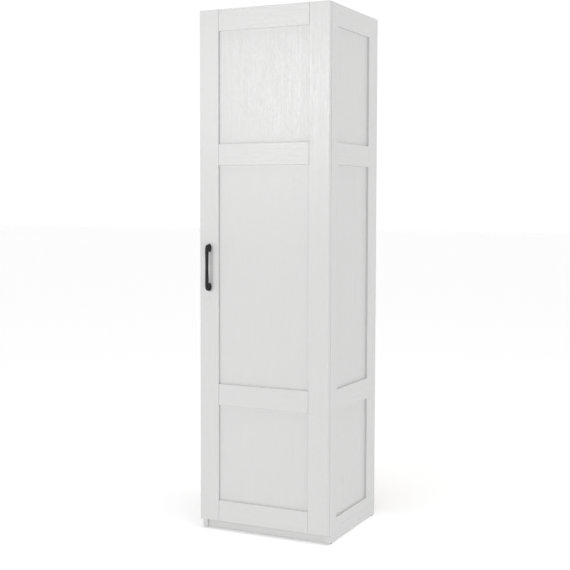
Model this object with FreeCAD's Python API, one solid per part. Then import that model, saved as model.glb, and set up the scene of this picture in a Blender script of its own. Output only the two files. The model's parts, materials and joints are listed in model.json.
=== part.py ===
import FreeCAD, Part
import math
import os

# A broom cupboard with one framed door: a free-standing carcass of framed sides, a fixed hat shelf, a
# divider with small shelves on its left, a broom bay on its right, and a door hung on concealed hinges.
# Millimetres. X runs to the right, Y to the back, Z up. The origin is on the floor, under the middle.

os.makedirs("parts", exist_ok=True)

Vector = FreeCAD.Vector
UP = Vector(0, 0, 1)
RIGHT = Vector(1, 0, 0)
BACK = Vector(0, 1, 0)

# ---------------------------------------------------------------- driving dimensions

# Overall
cabinet_width = 500.0
cabinet_height = 1850.0
carcass_depth = 426.0
door_gap = 2.0              # air between the shut door and the carcass's front edges
side_clearance = 0.5        # each side of a loose shelf

# Framing shared by the door and the sides
groove_depth = 10.0
panel_recess = 7.0          # outer face of a frame to the outer face of its panels
edge_arris = 0.8            # small flat on every long edge, which draws the door's joint lines
side_joint_arris = 0.2      # the same on the sides' inner edges, whose joints hardly show
door_joint_slit = 0.5       # open slit between a stile and a rail's end, at both faces of the door
joint_slit_depth = 2.5
panel_slip = 0.2            # room behind a panel or tongue in its groove
panel_play = 1.0            # room past a panel's or tongue's edges in the groove
rail_height = 75.0
lower_rail_bottom = 456.0
upper_rail_bottom = 1307.0

# Door
door_thickness = 16.0
door_panel_thickness = 5.0
door_stile_width = 75.0
door_bottom = 36.0

# Sides
side_thickness = 20.0
side_panel_thickness = 6.0
side_front_stile_width = 57.0
side_back_stile_width = 84.0
side_bottom_rail_height = 78.0

# Boards between the sides
board_thickness = 16.0
bottom_board_height = 38.0  # floor to the underside of the bottom board
plinth_setback = 5.0
plinth_floor_gap = 2.0
hat_shelf_height = 1470.0
back_thickness = 3.0
back_inset = 8.0            # rear edge of the sides to the back of the thin back panel
back_groove_depth = 6.0
back_play = 1.0
left_bay_width = 184.0
inner_setback = 20.0        # front edges of the divider and small shelves behind the carcass's front
small_shelf_heights = (408.0, 762.0, 1116.0)

# Joinery
dowel_radius = 4.0
dowel_in_wall = 11.0
dowel_in_board = 19.0
bolt_radius = 2.5
bolt_in_wall = 11.0
bolt_reach = 34.0           # end of a board to the middle of its cam
bolt_head_radius = 3.4
bolt_head_length = 4.0
bolt_bore_radius = 4.0
cam_radius = 7.5
cam_depth = 12.5
cam_slot_length = 9.0
cam_slot_width = 1.5
cam_slot_depth = 2.0
fastener_clearance = 0.05
fastener_sides = 8          # flats round a dowel, bolt, screw or shelf pin, and round its bore
cam_sides = 10
glide_sides = 10
front_dowel_inset = 16.0
front_bolt_inset = 40.0
rear_dowel_inset = 26.0
rear_bolt_inset = 50.0
divider_dowel_inset = 60.0
pin_radius = 2.5
pin_depth = 8.0
pin_reach = 9.0             # shelf support's tab, out from its wall
pin_tab_width = 8.0
pin_tab_drop = 8.5
pin_front_inset = 37.0      # row of pin holes behind the carcass's front edge
pin_rear_inset = 37.0       # row of pin holes in front of the back panel
pin_pitch = 32.0
glide_radius = 9.0
glide_height = 4.0
glide_nail_radius = 1.2
glide_nail_length = 14.0
glide_front_inset = 19.0    # carcass's front edge to the glide's middle
glide_side_inset = 10.0     # outer face of a side to the glide's middle

# Concealed hinges: distances in from the door's hinge edge and back from the door's inner face
hinge_end_distance = 84.0   # door's end to the middle of the hinge beside it
cup_radius = 17.5
cup_depth = 12.0
cup_wall = 0.9
cup_middle_in = 22.5
cup_flange_thickness = 1.2
cup_flange_length = 62.0
cup_flange_front = 14.0     # cup's middle to the flange's edge, away from the hinge edge
cup_screw_spacing = 48.0
cup_screw_offset = 6.0
cup_screw_length = 13.0
wood_screw_radius = 1.75
wood_screw_head_radius = 3.25
wood_screw_head_height = 1.2
hinge_pin_radius = 1.5
running_clearance = 0.07
hinge_pin_sides = 12        # flats round a hinge pin and its bores; the pin's corners clear the bore's flats
cup_sides = 18
door_pivot_in = 10.5
door_pivot_deep = 7.0
arm_pivot_in = 31.0
arm_pivot_deep = 2.0
link_sheet = 1.8
link_eye_radius = 2.8
link_bulge = 5.0            # middle of the link's curve off the straight line between its pins
link_width = 11.0
link_room = 1.0             # gap in the cup's flange past each side of the link
arm_sheet = 1.2
arm_width = 14.0
arm_eye_radius = 3.3
arm_web_in = 33.2           # door's hinge edge to the arm's outer face
arm_start = 3.0             # door's inner face to the front of the arm's web
arm_length = 62.0
arm_lip_in = 23.0           # door's hinge edge to the free edges of the arm's cheeks
arm_side_play = 0.2
plate_line = 37.0           # carcass's front edge to the plate's screws
plate_wing_thickness = 1.6
plate_wing_height = 52.0
plate_wing_width = 18.0
plate_screw_spacing = 32.0
plate_screw_length = 14.0
plate_spine_length = 38.0
arm_screw_radius = 2.2
arm_screw_head_radius = 4.0
arm_screw_head_height = 2.0
arm_screw_length = 9.0

# Handle
handle_middle_height = 946.0
handle_inset = 39.0         # door's free edge to the handle's middle
handle_projection = 24.0
handle_length = 168.0
handle_foot_height = 29.5
handle_foot_width = 15.5
handle_foot_edge = 3.0      # door's face to the top of the foot's straight rim
handle_bar_width = 11.5
handle_bar_thickness = 7.5
handle_end_width = 14.5
handle_bend = 15.0          # along the bar, from the handle's end to where its front runs straight
handle_fullness = 0.7       # power of the sines that draw its ovals: 1 for an ellipse, less for squarer
handle_inner_radius = 8.0   # inner corner between a foot and the bar
handle_groove_depth = 1.4   # groove round the foot, above its rim
handle_sides = 12
handle_screw_spacing = 128.0
handle_screw_radius = 2.0
handle_screw_depth = 12.0
handle_screw_head_radius = 4.0
handle_screw_head_height = 2.2

# Door bumpers and wall bracket
bumper_radius = 4.5
bumper_squeeze = 0.1        # air left at a shut bumper
bumper_inset = 10.0
bumper_end_inset = 25.0
bracket_sheet = 2.0
bracket_width = 40.0
bracket_leg = 30.0
bracket_hole_radius = 2.75
bracket_screw_inset = 12.0
bracket_screw_spacing = 24.0
bracket_screw_length = 13.0

# ---------------------------------------------------------------- places worked out from them

half_width = cabinet_width / 2
inner_half_width = half_width - side_thickness
total_depth = handle_projection + door_thickness + door_gap + carcass_depth
door_front_y = handle_projection - total_depth / 2
door_back_y = door_front_y + door_thickness
carcass_front_y = door_back_y + door_gap
carcass_back_y = carcass_front_y + carcass_depth
back_panel_back_y = carcass_back_y - back_inset
back_panel_front_y = back_panel_back_y - back_thickness
inner_front_y = carcass_front_y + inner_setback
bottom_board_top = bottom_board_height + board_thickness
top_board_bottom = cabinet_height - board_thickness
hat_shelf_top = hat_shelf_height + board_thickness
divider_left_x = left_bay_width - inner_half_width
divider_right_x = divider_left_x + board_thickness
pin_front_y = carcass_front_y + pin_front_inset
pin_rear_y = back_panel_front_y - pin_rear_inset
rail_heights = (
    (lower_rail_bottom, lower_rail_bottom + rail_height),
    (upper_rail_bottom, upper_rail_bottom + rail_height),
    (cabinet_height - rail_height, cabinet_height),
)
hinge_heights = (
    door_bottom + hinge_end_distance,
    (door_bottom + cabinet_height) / 2,
    cabinet_height - hinge_end_distance,
)


# ---------------------------------------------------------------- shape helpers

def save(node, solids):
    """Write one node: a single solid, or a group of alike solids."""
    shape = solids if isinstance(solids, Part.Shape) else Part.makeCompound(list(solids))
    shape.exportStep("parts/%s.step" % node)


def block(low, high):
    """Box between two opposite corners."""
    size = Vector(*high) - Vector(*low)
    return Part.makeBox(size.x, size.y, size.z, Vector(*low))


def prism(corners, push):
    """Closed outline through the corners, pushed along a vector."""
    return Part.Face(Part.makePolygon(corners + corners[:1])).extrude(push)


def rod(radius, start, end):
    """Round bar from one point to another."""
    run = end - start
    return Part.makeCylinder(radius, run.Length, start, run)


def faceted(profile, base, axis, sides=fastener_sides):
    """Solid like a turned one with flats in place of its round faces: (radius, distance) from end to end."""
    rings = []
    for radius, along in profile:
        turns = [2 * math.pi * step / sides for step in range(sides)]
        rings.append([Vector(radius * math.cos(turn), radius * math.sin(turn), along) for turn in turns])
    outlines = [rings[0], rings[-1]]
    for lower, upper in zip(rings, rings[1:]):
        for step in range(sides):
            beside = (step + 1) % sides
            outlines.append([lower[step], lower[beside], upper[beside], upper[step]])
    faces = [Part.Face(Part.makePolygon(outline + outline[:1])) for outline in outlines]
    solid = Part.makeSolid(Part.makeShell(faces))
    solid.Placement = FreeCAD.Placement(base, FreeCAD.Rotation(UP, axis))
    return solid


def faceted_rod(radius, start, end, sides=fastener_sides):
    """Straight bar with flats, from one point to another."""
    run = end - start
    return faceted([(radius, 0), (radius, run.Length)], start, run, sides)


def countersunk_screw(head_centre, into, length):
    """Wood screw whose flat head has its face at head_centre and whose stem goes along into."""
    profile = [
        (wood_screw_head_radius, 0),
        (wood_screw_radius, wood_screw_head_height + wood_screw_head_radius - wood_screw_radius),
        (wood_screw_radius, length),
    ]
    return faceted(profile, head_centre, into)


# ---------------------------------------------------------------- framed walls

class FramedWall:
    """Two stiles, a stack of rails and the panels between them, all held by grooves and tongues.

    across runs along the wall's width from its first stile's outer edge, depth goes in from its outer
    face, and place turns across, depth and height into a point of the cupboard. joint is the size of the
    arris along its inner edges and the width of the open slit at its rails' ends.
    """

    def __init__(self, place, width, thickness, panel_thickness, stile_widths, bottom, rails, joint):
        self.place = place
        self.joint_arris, self.joint_slit = joint
        self.width = width
        self.thickness = thickness
        self.tongue_back = panel_recess + panel_thickness
        self.groove_back = self.tongue_back + panel_slip
        self.first_inner = stile_widths[0]
        self.second_inner = width - stile_widths[1]
        self.bottom = bottom
        self.rails = rails

    def upright(self, plan, low, high):
        """Plan outline of (across, depth) points, raised from low to high."""
        corners = [self.place(across, depth, low) for across, depth in plan]
        return prism(corners, UP * (high - low))

    def stile(self, outer, inner):
        """Upright member with a groove along its inner edge and arrises on its four corners."""
        side = 1 if inner > outer else -1
        arris = self.joint_arris
        groove_bottom = inner - side * groove_depth
        back = self.thickness
        plan = [
            (outer + side * edge_arris, 0),
            (inner - side * arris, 0),
            (inner, arris),
            (inner, panel_recess),
            (groove_bottom, panel_recess),
            (groove_bottom, self.groove_back),
            (inner, self.groove_back),
            (inner, back - arris),
            (inner - side * arris, back),
            (outer + side * edge_arris, back),
            (outer, back - edge_arris),
            (outer, edge_arris),
        ]
        return self.upright(plan, self.bottom, cabinet_height)

    def grooved_edge(self, height, side):
        """Points of a rail's long edge at a height, its solid on the given side of it, front to back."""
        arris = self.joint_arris
        groove_bottom = height + side * groove_depth
        return [
            (height + side * arris, 0),
            (height, arris),
            (height, panel_recess),
            (groove_bottom, panel_recess),
            (groove_bottom, self.groove_back),
            (height, self.groove_back),
            (height, self.thickness - arris),
            (height + side * arris, self.thickness),
        ]

    def plain_edge(self, height, side):
        """Points of a rail's long edge that holds no panel, in the same order."""
        return [
            (height + side * edge_arris, 0),
            (height, edge_arris),
            (height, self.thickness - edge_arris),
            (height + side * edge_arris, self.thickness),
        ]

    def rail_end(self, shoulder, side):
        """Points of a rail's end in plan, front to back: side is 1 where it faces on across the wall."""
        arris, slit, back = self.joint_arris, self.joint_slit, self.thickness
        tongue = groove_depth - panel_play
        front_slit = []
        back_slit = []
        if slit > 0:
            front_slit = [(shoulder - side * slit, arris), (shoulder - side * slit, joint_slit_depth)]
            back_slit = [(x, back - depth) for x, depth in front_slit[::-1]]
        return [
            (shoulder - side * (arris + slit), 0),
            *front_slit,
            (shoulder, joint_slit_depth if slit > 0 else arris),
            (shoulder, panel_recess),
            (shoulder + side * tongue, panel_recess),
            (shoulder + side * tongue, self.tongue_back),
            (shoulder, self.tongue_back),
            (shoulder, back - (joint_slit_depth if slit > 0 else arris)),
            *back_slit,
            (shoulder - side * (arris + slit), back),
        ]

    def rail(self, low, high):
        """Cross member with stub tongues at its ends that fill the stiles' grooves."""
        lower = self.plain_edge(low, 1) if low == self.bottom else self.grooved_edge(low, 1)
        upper = self.plain_edge(high, -1) if high == cabinet_height else self.grooved_edge(high, -1)
        corners = [self.place(0, depth, height) for height, depth in lower + upper[::-1]]
        bar = prism(corners, self.place(self.width, 0, 0) - self.place(0, 0, 0))
        plan = self.rail_end(self.second_inner, 1) + self.rail_end(self.first_inner, -1)[::-1]
        return bar.common(self.upright(plan, low, high))

    def panel(self, rail_below, rail_above):
        """Thin board that stands in the groove of the rail below it, with play on its other edges."""
        reach = groove_depth - panel_play
        plan = [
            (self.first_inner - reach, panel_recess),
            (self.second_inner + reach, panel_recess),
            (self.second_inner + reach, self.tongue_back),
            (self.first_inner - reach, self.tongue_back),
        ]
        return self.upright(plan, rail_below[1] - groove_depth, rail_above[0] + reach)

    def pieces(self):
        """Every piece of the wall by its own short name."""
        bottom_rail, lower_rail, upper_rail, top_rail = self.rails
        return {
            "first_stile": self.stile(0, self.first_inner),
            "second_stile": self.stile(self.width, self.second_inner),
            "bottom_rail": self.rail(*bottom_rail),
            "lower_rail": self.rail(*lower_rail),
            "upper_rail": self.rail(*upper_rail),
            "top_rail": self.rail(*top_rail),
            "bottom_panel": self.panel(bottom_rail, lower_rail),
            "middle_panel": self.panel(lower_rail, upper_rail),
            "top_panel": self.panel(upper_rail, top_rail),
        }


def door_wall():
    """The door's frame, seen from the front with its first stile at the left."""
    def place(across, depth, height):
        return Vector(across - half_width, door_front_y + depth, height)
    rails = ((door_bottom, door_bottom + rail_height),) + rail_heights
    stiles = (door_stile_width, door_stile_width)
    return FramedWall(
        place, cabinet_width, door_thickness, door_panel_thickness, stiles, door_bottom, rails,
        (edge_arris, door_joint_slit))


def side_wall(side):
    """A side of the carcass, its first stile at the front: side is -1 for the left, 1 for the right."""
    def place(across, depth, height):
        return Vector(side * (half_width - depth), carcass_front_y + across, height)
    rails = ((glide_height, glide_height + side_bottom_rail_height),) + rail_heights
    stiles = (side_front_stile_width, side_back_stile_width)
    return FramedWall(
        place, carcass_depth, side_thickness, side_panel_thickness, stiles, glide_height, rails,
        (side_joint_arris, 0))


# ---------------------------------------------------------------- boards and their joints

def crosswise_joints():
    """Places where boards meet the sides: (side, height of the board's middle, y) for dowels and bolts."""
    dowels = []
    bolts = []
    boards = (
        (bottom_board_height, carcass_back_y),
        (hat_shelf_height, back_panel_front_y),
        (top_board_bottom, carcass_back_y),
    )
    for underside, rear_y in boards:
        middle = underside + board_thickness / 2
        for side in (-1, 1):
            dowels.append((side, middle, carcass_front_y + front_dowel_inset))
            dowels.append((side, middle, rear_y - rear_dowel_inset))
            bolts.append((side, middle, carcass_front_y + front_bolt_inset))
            bolts.append((side, middle, rear_y - rear_bolt_inset))
    return dowels, bolts


dowel_places, bolt_places = crosswise_joints()
divider_dowel_ys = (inner_front_y + divider_dowel_inset, back_panel_front_y - divider_dowel_inset)


def crosswise(side, middle, y, from_wall, into_wall, radius):
    """Round bar along X that reaches from_wall into the cupboard and into_wall into the side."""
    inner = Vector(side * (inner_half_width - from_wall), y, middle)
    outer = Vector(side * (inner_half_width + into_wall), y, middle)
    return faceted_rod(radius, inner, outer)


def upright_dowel(y, face, below, above, radius):
    """Dowel on end in the divider's line, set below and above a board's face."""
    x = (divider_left_x + divider_right_x) / 2
    return faceted_rod(radius, Vector(x, y, face - below), Vector(x, y, face + above))


def divider_dowels(radius):
    """The upright dowels at the divider's foot and head."""
    solids = []
    for y in divider_dowel_ys:
        solids.append(upright_dowel(y, bottom_board_top, dowel_in_wall, dowel_in_board, radius))
        solids.append(upright_dowel(y, hat_shelf_height, dowel_in_board, dowel_in_wall, radius))
    return solids


def dowels():
    """All wooden dowels."""
    level = [crosswise(*place, dowel_in_board, dowel_in_wall, dowel_radius) for place in dowel_places]
    return level + divider_dowels(dowel_radius)


def dowel_bores():
    """Bores for all the dowels, as long as the dowels, so that these seat on their ends."""
    radius = dowel_radius + fastener_clearance
    level = [crosswise(*place, dowel_in_board, dowel_in_wall, radius) for place in dowel_places]
    return level + divider_dowels(radius)


def cam_bolt(side, middle, y):
    """Connecting bolt: a stem in the side and a head that the cam draws in."""
    profile = [
        (bolt_radius, -bolt_in_wall),
        (bolt_radius, bolt_reach - bolt_head_length),
        (bolt_head_radius, bolt_reach - bolt_head_length),
        (bolt_head_radius, bolt_reach),
    ]
    return faceted(profile, Vector(side * inner_half_width, y, middle), RIGHT * -side)


def bolt_bores():
    """Bores for the bolts: narrow in the sides, wide in the boards up to the cams."""
    bores = []
    for place in bolt_places:
        bores.append(crosswise(*place, 0, bolt_in_wall, bolt_radius + fastener_clearance))
        bores.append(crosswise(*place, bolt_reach, 0, bolt_bore_radius))
    return bores


def cam_lock(side, middle, y):
    """Cam in the board's underside, open towards the bolt, with a slot for the driver."""
    underside = middle - board_thickness / 2
    x = side * (inner_half_width - bolt_reach)
    radius = cam_radius - fastener_clearance
    body = faceted_rod(radius, Vector(x, y, underside), Vector(x, y, underside + cam_depth), cam_sides)
    mouth = crosswise(side, middle, y, bolt_reach, 0, bolt_head_radius + fastener_clearance)
    half_long, half_wide = cam_slot_length / 2, cam_slot_width / 2
    slot = block(
        (x - half_wide, y - half_long, underside), (x + half_wide, y + half_long, underside + cam_slot_depth))
    return body.cut([mouth, slot])


def cam_bores():
    """Round pockets in the boards' undersides for the cams."""
    bores = []
    for side, middle, y in bolt_places:
        underside = middle - board_thickness / 2
        x = side * (inner_half_width - bolt_reach)
        low = Vector(x, y, underside)
        bores.append(faceted_rod(cam_radius, low, low + UP * cam_depth, cam_sides))
    return bores


def back_panel_slot():
    """Room for the thin back panel in the sides and in the top and bottom boards."""
    return block(
        (-inner_half_width - back_groove_depth, back_panel_front_y, bottom_board_top - back_groove_depth),
        (inner_half_width + back_groove_depth, back_panel_back_y, top_board_bottom + back_groove_depth))


def back_panel():
    """Thin back that stands in the bottom board's groove, with play at its sides and top."""
    reach = back_groove_depth - back_play
    sheet = block(
        (-inner_half_width - reach, back_panel_front_y, bottom_board_top - back_groove_depth),
        (inner_half_width + reach, back_panel_back_y, top_board_bottom + reach))
    height = top_board_bottom - bracket_leg / 2
    hole = rod(
        bracket_hole_radius, Vector(0, back_panel_front_y, height), Vector(0, back_panel_back_y, height))
    return sheet.cut(hole)


# ---------------------------------------------------------------- shelf supports

def pin_rows():
    """Walls with pin holes: (x of the wall's face, direction out of the wall, y)."""
    rows = []
    for y in (pin_front_y, pin_rear_y):
        rows.append((-inner_half_width, 1, y))
        rows.append((divider_left_x, -1, y))
    return rows


def pin_holes():
    """Three holes a pitch apart at each small shelf, in every row."""
    holes = []
    for x, out, y in pin_rows():
        for underside in small_shelf_heights:
            for step in (-1, 0, 1):
                height = underside - pin_radius + step * pin_pitch
                start = Vector(x, y, height)
                end = Vector(x - out * pin_depth, y, height)
                holes.append(faceted_rod(pin_radius + fastener_clearance, start, end))
    return holes


def shelf_pin(x, out, y, underside):
    """Support with a round stem in the wall and a gusset whose flat top carries the shelf."""
    face = Vector(x, y, underside - pin_radius)
    stem = faceted_rod(pin_radius, face, face - RIGHT * out * pin_depth)
    tip = 2.0
    front = y - pin_tab_width / 2
    corners = [
        Vector(x, front, underside),
        Vector(x + out * pin_reach, front, underside),
        Vector(x + out * pin_reach, front, underside - tip),
        Vector(x, front, underside - pin_tab_drop),
    ]
    return stem.fuse(prism(corners, BACK * pin_tab_width))


def shelf_pins():
    """Four supports under each small shelf."""
    return [shelf_pin(*row, underside) for row in pin_rows() for underside in small_shelf_heights]


def small_shelf(underside):
    """Loose shelf of the left bay."""
    return block(
        (-inner_half_width + side_clearance, inner_front_y, underside),
        (divider_left_x - side_clearance, back_panel_front_y - side_clearance, underside + board_thickness))


# ---------------------------------------------------------------- floor glides

def floor_glide(side, y):
    """Nail-on plastic glide under a side's bottom edge."""
    lip = 1.0
    base = Vector(side * (half_width - glide_side_inset), y, 0)
    pad = faceted([
        (glide_radius - lip, 0),
        (glide_radius, lip),
        (glide_radius, glide_height),
    ], base, UP, glide_sides)
    top = base + UP * glide_height
    return pad.fuse(faceted_rod(glide_nail_radius, top, top + UP * glide_nail_length))


def glide_places():
    """Side and y of each glide."""
    ys = (carcass_front_y + glide_front_inset, carcass_back_y - glide_front_inset)
    return [(side, y) for side in (-1, 1) for y in ys]


def glide_bores():
    """Nail holes in the sides' bottom edges."""
    bores = []
    for side, y in glide_places():
        x = side * (half_width - glide_side_inset)
        low = Vector(x, y, glide_height)
        high = Vector(x, y, glide_height + glide_nail_length)
        bores.append(faceted_rod(glide_nail_radius + fastener_clearance, low, high))
    return bores


# ---------------------------------------------------------------- concealed hinges

def hinge_point(inwards, behind, height):
    """Point so far in from the door's hinge edge and behind the door's inner face."""
    return Vector(half_width - inwards, door_back_y + behind, height)


def hinge_rod(inwards, behind, middle, width, radius):
    """Upright bar on a hinge's pivot line."""
    low = hinge_point(inwards, behind, middle - width / 2)
    return faceted_rod(radius, low, low + UP * width, hinge_pin_sides)


def cup_pin_length():
    """Pin at the door pivot that ends inside the cup's wall."""
    offset = cup_middle_in - door_pivot_in + hinge_pin_radius
    return 2 * math.sqrt((cup_radius - cup_wall / 2) ** 2 - offset ** 2)


def hinge_cup(middle):
    """Pressed cup with a flange that is screwed to the door's inner face."""
    centre = hinge_point(cup_middle_in, 0, middle)
    outer = cup_radius - fastener_clearance
    inner = cup_radius - cup_wall
    shell = faceted([
        (outer, -cup_depth),
        (outer, 0),
        (inner, 0),
        (inner, cup_wall - cup_depth),
    ], centre, BACK, cup_sides)
    half = cup_flange_length / 2
    edge_in = cup_middle_in - cup_radius
    tail_in = cup_middle_in + cup_flange_front
    ear = cup_screw_spacing / 2 - 6.5
    outline = [
        hinge_point(edge_in, 0, middle - ear),
        hinge_point(cup_middle_in - 2, 0, middle - half),
        hinge_point(tail_in, 0, middle - half),
        hinge_point(tail_in + 2, 0, middle - ear),
        hinge_point(tail_in + 2, 0, middle + ear),
        hinge_point(tail_in, 0, middle + half),
        hinge_point(cup_middle_in - 2, 0, middle + half),
        hinge_point(edge_in, 0, middle + ear),
    ]
    flange = prism(outline, BACK * cup_flange_thickness)
    mouth = faceted_rod(inner, centre, centre + BACK * cup_flange_thickness, cup_sides)
    half_gap = link_width / 2 + link_room
    gap = block(
        hinge_point(door_pivot_in, 0, middle - half_gap),
        hinge_point(0, cup_flange_thickness, middle + half_gap))
    cup = shell.fuse(flange.cut([mouth, gap]))
    pin_hole = hinge_rod(door_pivot_in, -door_pivot_deep, middle, cup_pin_length(), hinge_pin_radius)
    return cup.cut([pin_hole] + [cup_screw(middle, end) for end in (-1, 1)])


def cup_screw(middle, end):
    """Screw through the flange into the door's stile."""
    height = middle + end * cup_screw_spacing / 2
    head = hinge_point(cup_middle_in + cup_screw_offset, cup_flange_thickness, height)
    return countersunk_screw(head, -BACK, cup_screw_length)


def cup_bore(middle):
    """Round pocket in the door's stile."""
    centre = hinge_point(cup_middle_in, 0, middle)
    return faceted_rod(cup_radius, centre, centre - BACK * cup_depth, cup_sides)


def hinge_link(middle):
    """Curved link: an arc of sheet between two eyes, bulging into the cup to clear its rim."""
    arm_pivot = hinge_point(arm_pivot_in, -arm_pivot_deep, middle - link_width / 2)
    door_pivot = hinge_point(door_pivot_in, -door_pivot_deep, middle - link_width / 2)
    chord = door_pivot - arm_pivot
    along = chord * (1 / chord.Length)
    off = along.cross(UP)
    radius = (chord.Length ** 2 / 4 + link_bulge ** 2) / (2 * link_bulge)
    centre = (arm_pivot + door_pivot) * 0.5 + off * (link_bulge - radius)
    reach = math.asin(chord.Length / 2 / radius)
    steps = 8
    turns = [reach * (2 * step / steps - 1) for step in range(steps + 1)]
    outline = []
    for side, order in ((1, turns), (-1, turns[::-1])):
        distance = radius + side * link_sheet / 2
        for turn in order:
            outline.append(centre + along * (distance * math.sin(turn)) + off * (distance * math.cos(turn)))
    band = prism(outline, UP * link_width)
    eyes = []
    bores = []
    for inwards, deep in ((arm_pivot_in, arm_pivot_deep), (door_pivot_in, door_pivot_deep)):
        eyes.append(hinge_rod(inwards, -deep, middle, link_width, link_eye_radius))
        bores.append(hinge_rod(inwards, -deep, middle, link_width, hinge_pin_radius + running_clearance))
    return band.fuse(eyes).cut(bores).removeSplitter()


def hinge_arm(middle):
    """Bent channel: a web over the plate's spine, and two cheeks that end in the arm pivot's eyes."""
    lip, web = arm_lip_in, arm_web_in
    rear = arm_start + arm_length
    nose = arm_pivot_in - arm_eye_radius
    toe = arm_start + 6.0
    cheek_plan = [
        (nose, -arm_pivot_deep),
        (web, -arm_pivot_deep),
        (web, rear),
        (lip, rear),
        (lip, toe),
        (nose, arm_start),
    ]
    cheeks = []
    for low in (middle - arm_width / 2, middle + arm_width / 2 - arm_sheet):
        corners = [hinge_point(inwards, behind, low) for inwards, behind in cheek_plan]
        plate = prism(corners, UP * arm_sheet)
        eye = hinge_rod(arm_pivot_in, -arm_pivot_deep, low + arm_sheet / 2, arm_sheet, arm_eye_radius)
        cheeks.append(plate.fuse(eye))
    web_plate = prism([
        hinge_point(web - arm_sheet, arm_start, middle - arm_width / 2),
        hinge_point(web, arm_start, middle - arm_width / 2),
        hinge_point(web, rear, middle - arm_width / 2),
        hinge_point(web - arm_sheet, rear, middle - arm_width / 2),
    ], UP * arm_width)
    arm = web_plate.fuse(cheeks)
    pin_hole = hinge_rod(arm_pivot_in, -arm_pivot_deep, middle, arm_width, hinge_pin_radius)
    return arm.cut([pin_hole, arm_screw(middle)]).removeSplitter()


def arm_screw(middle):
    """Screw that clamps the arm to the plate's spine."""
    seat = hinge_point(arm_web_in, plate_middle() + plate_spine_length / 4, middle)
    profile = [
        (arm_screw_head_radius, -arm_screw_head_height),
        (arm_screw_head_radius, 0),
        (arm_screw_radius, 0),
        (arm_screw_radius, arm_screw_length),
    ]
    return faceted(profile, seat, RIGHT)


def plate_middle():
    """Door's inner face to the line of the plate's screws."""
    return door_gap + plate_line


def hinge_plate(middle):
    """Mounting plate: wings screwed to the side, and a spine that the arm sits on."""
    wall = side_thickness
    line = plate_middle()
    wing = prism([
        hinge_point(wall, line - plate_wing_width / 2, middle - plate_wing_height / 2),
        hinge_point(wall + plate_wing_thickness, line - plate_wing_width / 2, middle - plate_wing_height / 2),
        hinge_point(wall + plate_wing_thickness, line + plate_wing_width / 2, middle - plate_wing_height / 2),
        hinge_point(wall, line + plate_wing_width / 2, middle - plate_wing_height / 2),
    ], UP * plate_wing_height)
    half = arm_width / 2 - arm_sheet - arm_side_play
    spine = prism([
        hinge_point(wall, line - plate_spine_length / 2, middle - half),
        hinge_point(arm_web_in - arm_sheet, line - plate_spine_length / 2, middle - half),
        hinge_point(arm_web_in - arm_sheet, line + plate_spine_length / 2, middle - half),
        hinge_point(wall, line + plate_spine_length / 2, middle - half),
    ], UP * 2 * half)
    screws = [plate_screw(middle, end) for end in (-1, 1)]
    return wing.fuse(spine).cut(screws + [arm_screw(middle)]).removeSplitter()


def plate_screw(middle, end):
    """Screw through a wing into the side's front stile."""
    head = hinge_point(
        side_thickness + plate_wing_thickness, plate_middle(), middle + end * plate_screw_spacing / 2)
    return countersunk_screw(head, RIGHT, plate_screw_length)


# ---------------------------------------------------------------- handle

def full(share):
    """A sine or cosine drawn towards one, which squares the curve that it draws."""
    return math.copysign(abs(share) ** handle_fullness, share)


def oval_section(outer, inner, half_wide, inset=0):
    """Closed outline with flats: a full oval from an outer to an inner point, half_wide to each side."""
    middle = (outer + inner) * 0.5
    reach = outer - middle
    reach = reach * (1 - inset / reach.Length)
    across = RIGHT * (half_wide - inset)
    points = []
    for step in range(handle_sides):
        turn = 2 * math.pi * step / handle_sides
        points.append(middle + across * full(math.cos(turn)) + reach * full(math.sin(turn)))
    return Part.makePolygon(points + points[:1])


def handle_bend_points(turn):
    """Outer and inner points of a foot's bend, as (along, rise): oval outside, straight then round inside."""
    outer = (
        handle_bend * (1 - full(math.cos(turn))),
        handle_foot_edge + (handle_projection - handle_foot_edge) * full(math.sin(turn)),
    )
    radius = handle_inner_radius
    straight = handle_projection - handle_bar_thickness - radius - handle_foot_edge
    travel = turn / (math.pi / 2) * (straight + radius * math.pi / 2)
    if travel < straight:
        return outer, (handle_foot_height, handle_foot_edge + travel)
    swing = (travel - straight) / radius
    along = handle_foot_height + radius * (1 - math.cos(swing))
    return outer, (along, handle_foot_edge + straight + radius * math.sin(swing))


def handle_half(end):
    """Foot, bend and half of the bar: end is 1 for the upper half, -1 for the lower."""
    tip = Vector(handle_inset - half_width, door_front_y, handle_middle_height + end * handle_length / 2)

    def at(along, rise):
        return tip - UP * end * along - BACK * rise

    half_foot = handle_foot_width / 2
    half_end = handle_end_width / 2
    sections = [oval_section(at(0, 0), at(handle_foot_height, 0), half_foot)]
    steps = 8
    grooved = {1: 0.5, 2: 1, 3: 0.5}
    for step in range(steps + 1):
        share = step / steps
        outer, inner = handle_bend_points(share * math.pi / 2)
        groove = handle_groove_depth * grooved.get(step, 0)
        half_wide = half_foot + (half_end - half_foot) * share
        sections.append(oval_section(at(*outer), at(*inner), half_wide, groove))
    bar_back = handle_projection - handle_bar_thickness
    start = handle_foot_height + handle_inner_radius * 1.5
    run = handle_length / 2 - start
    steps = 3
    for step in range(steps + 1):
        share = step / steps
        along = start + run * share
        half_wide = half_end + (handle_bar_width / 2 - half_end) * math.sin(share * math.pi / 2)
        sections.append(oval_section(at(along, handle_projection), at(along, bar_back), half_wide))
    return Part.makeLoft(sections, True, True)


def door_handle():
    """Cast bow handle with two oval feet, bored for its screws from behind."""
    handle = handle_half(1).fuse(handle_half(-1))
    return handle.cut([handle_screw(end) for end in (-1, 1)])


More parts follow.
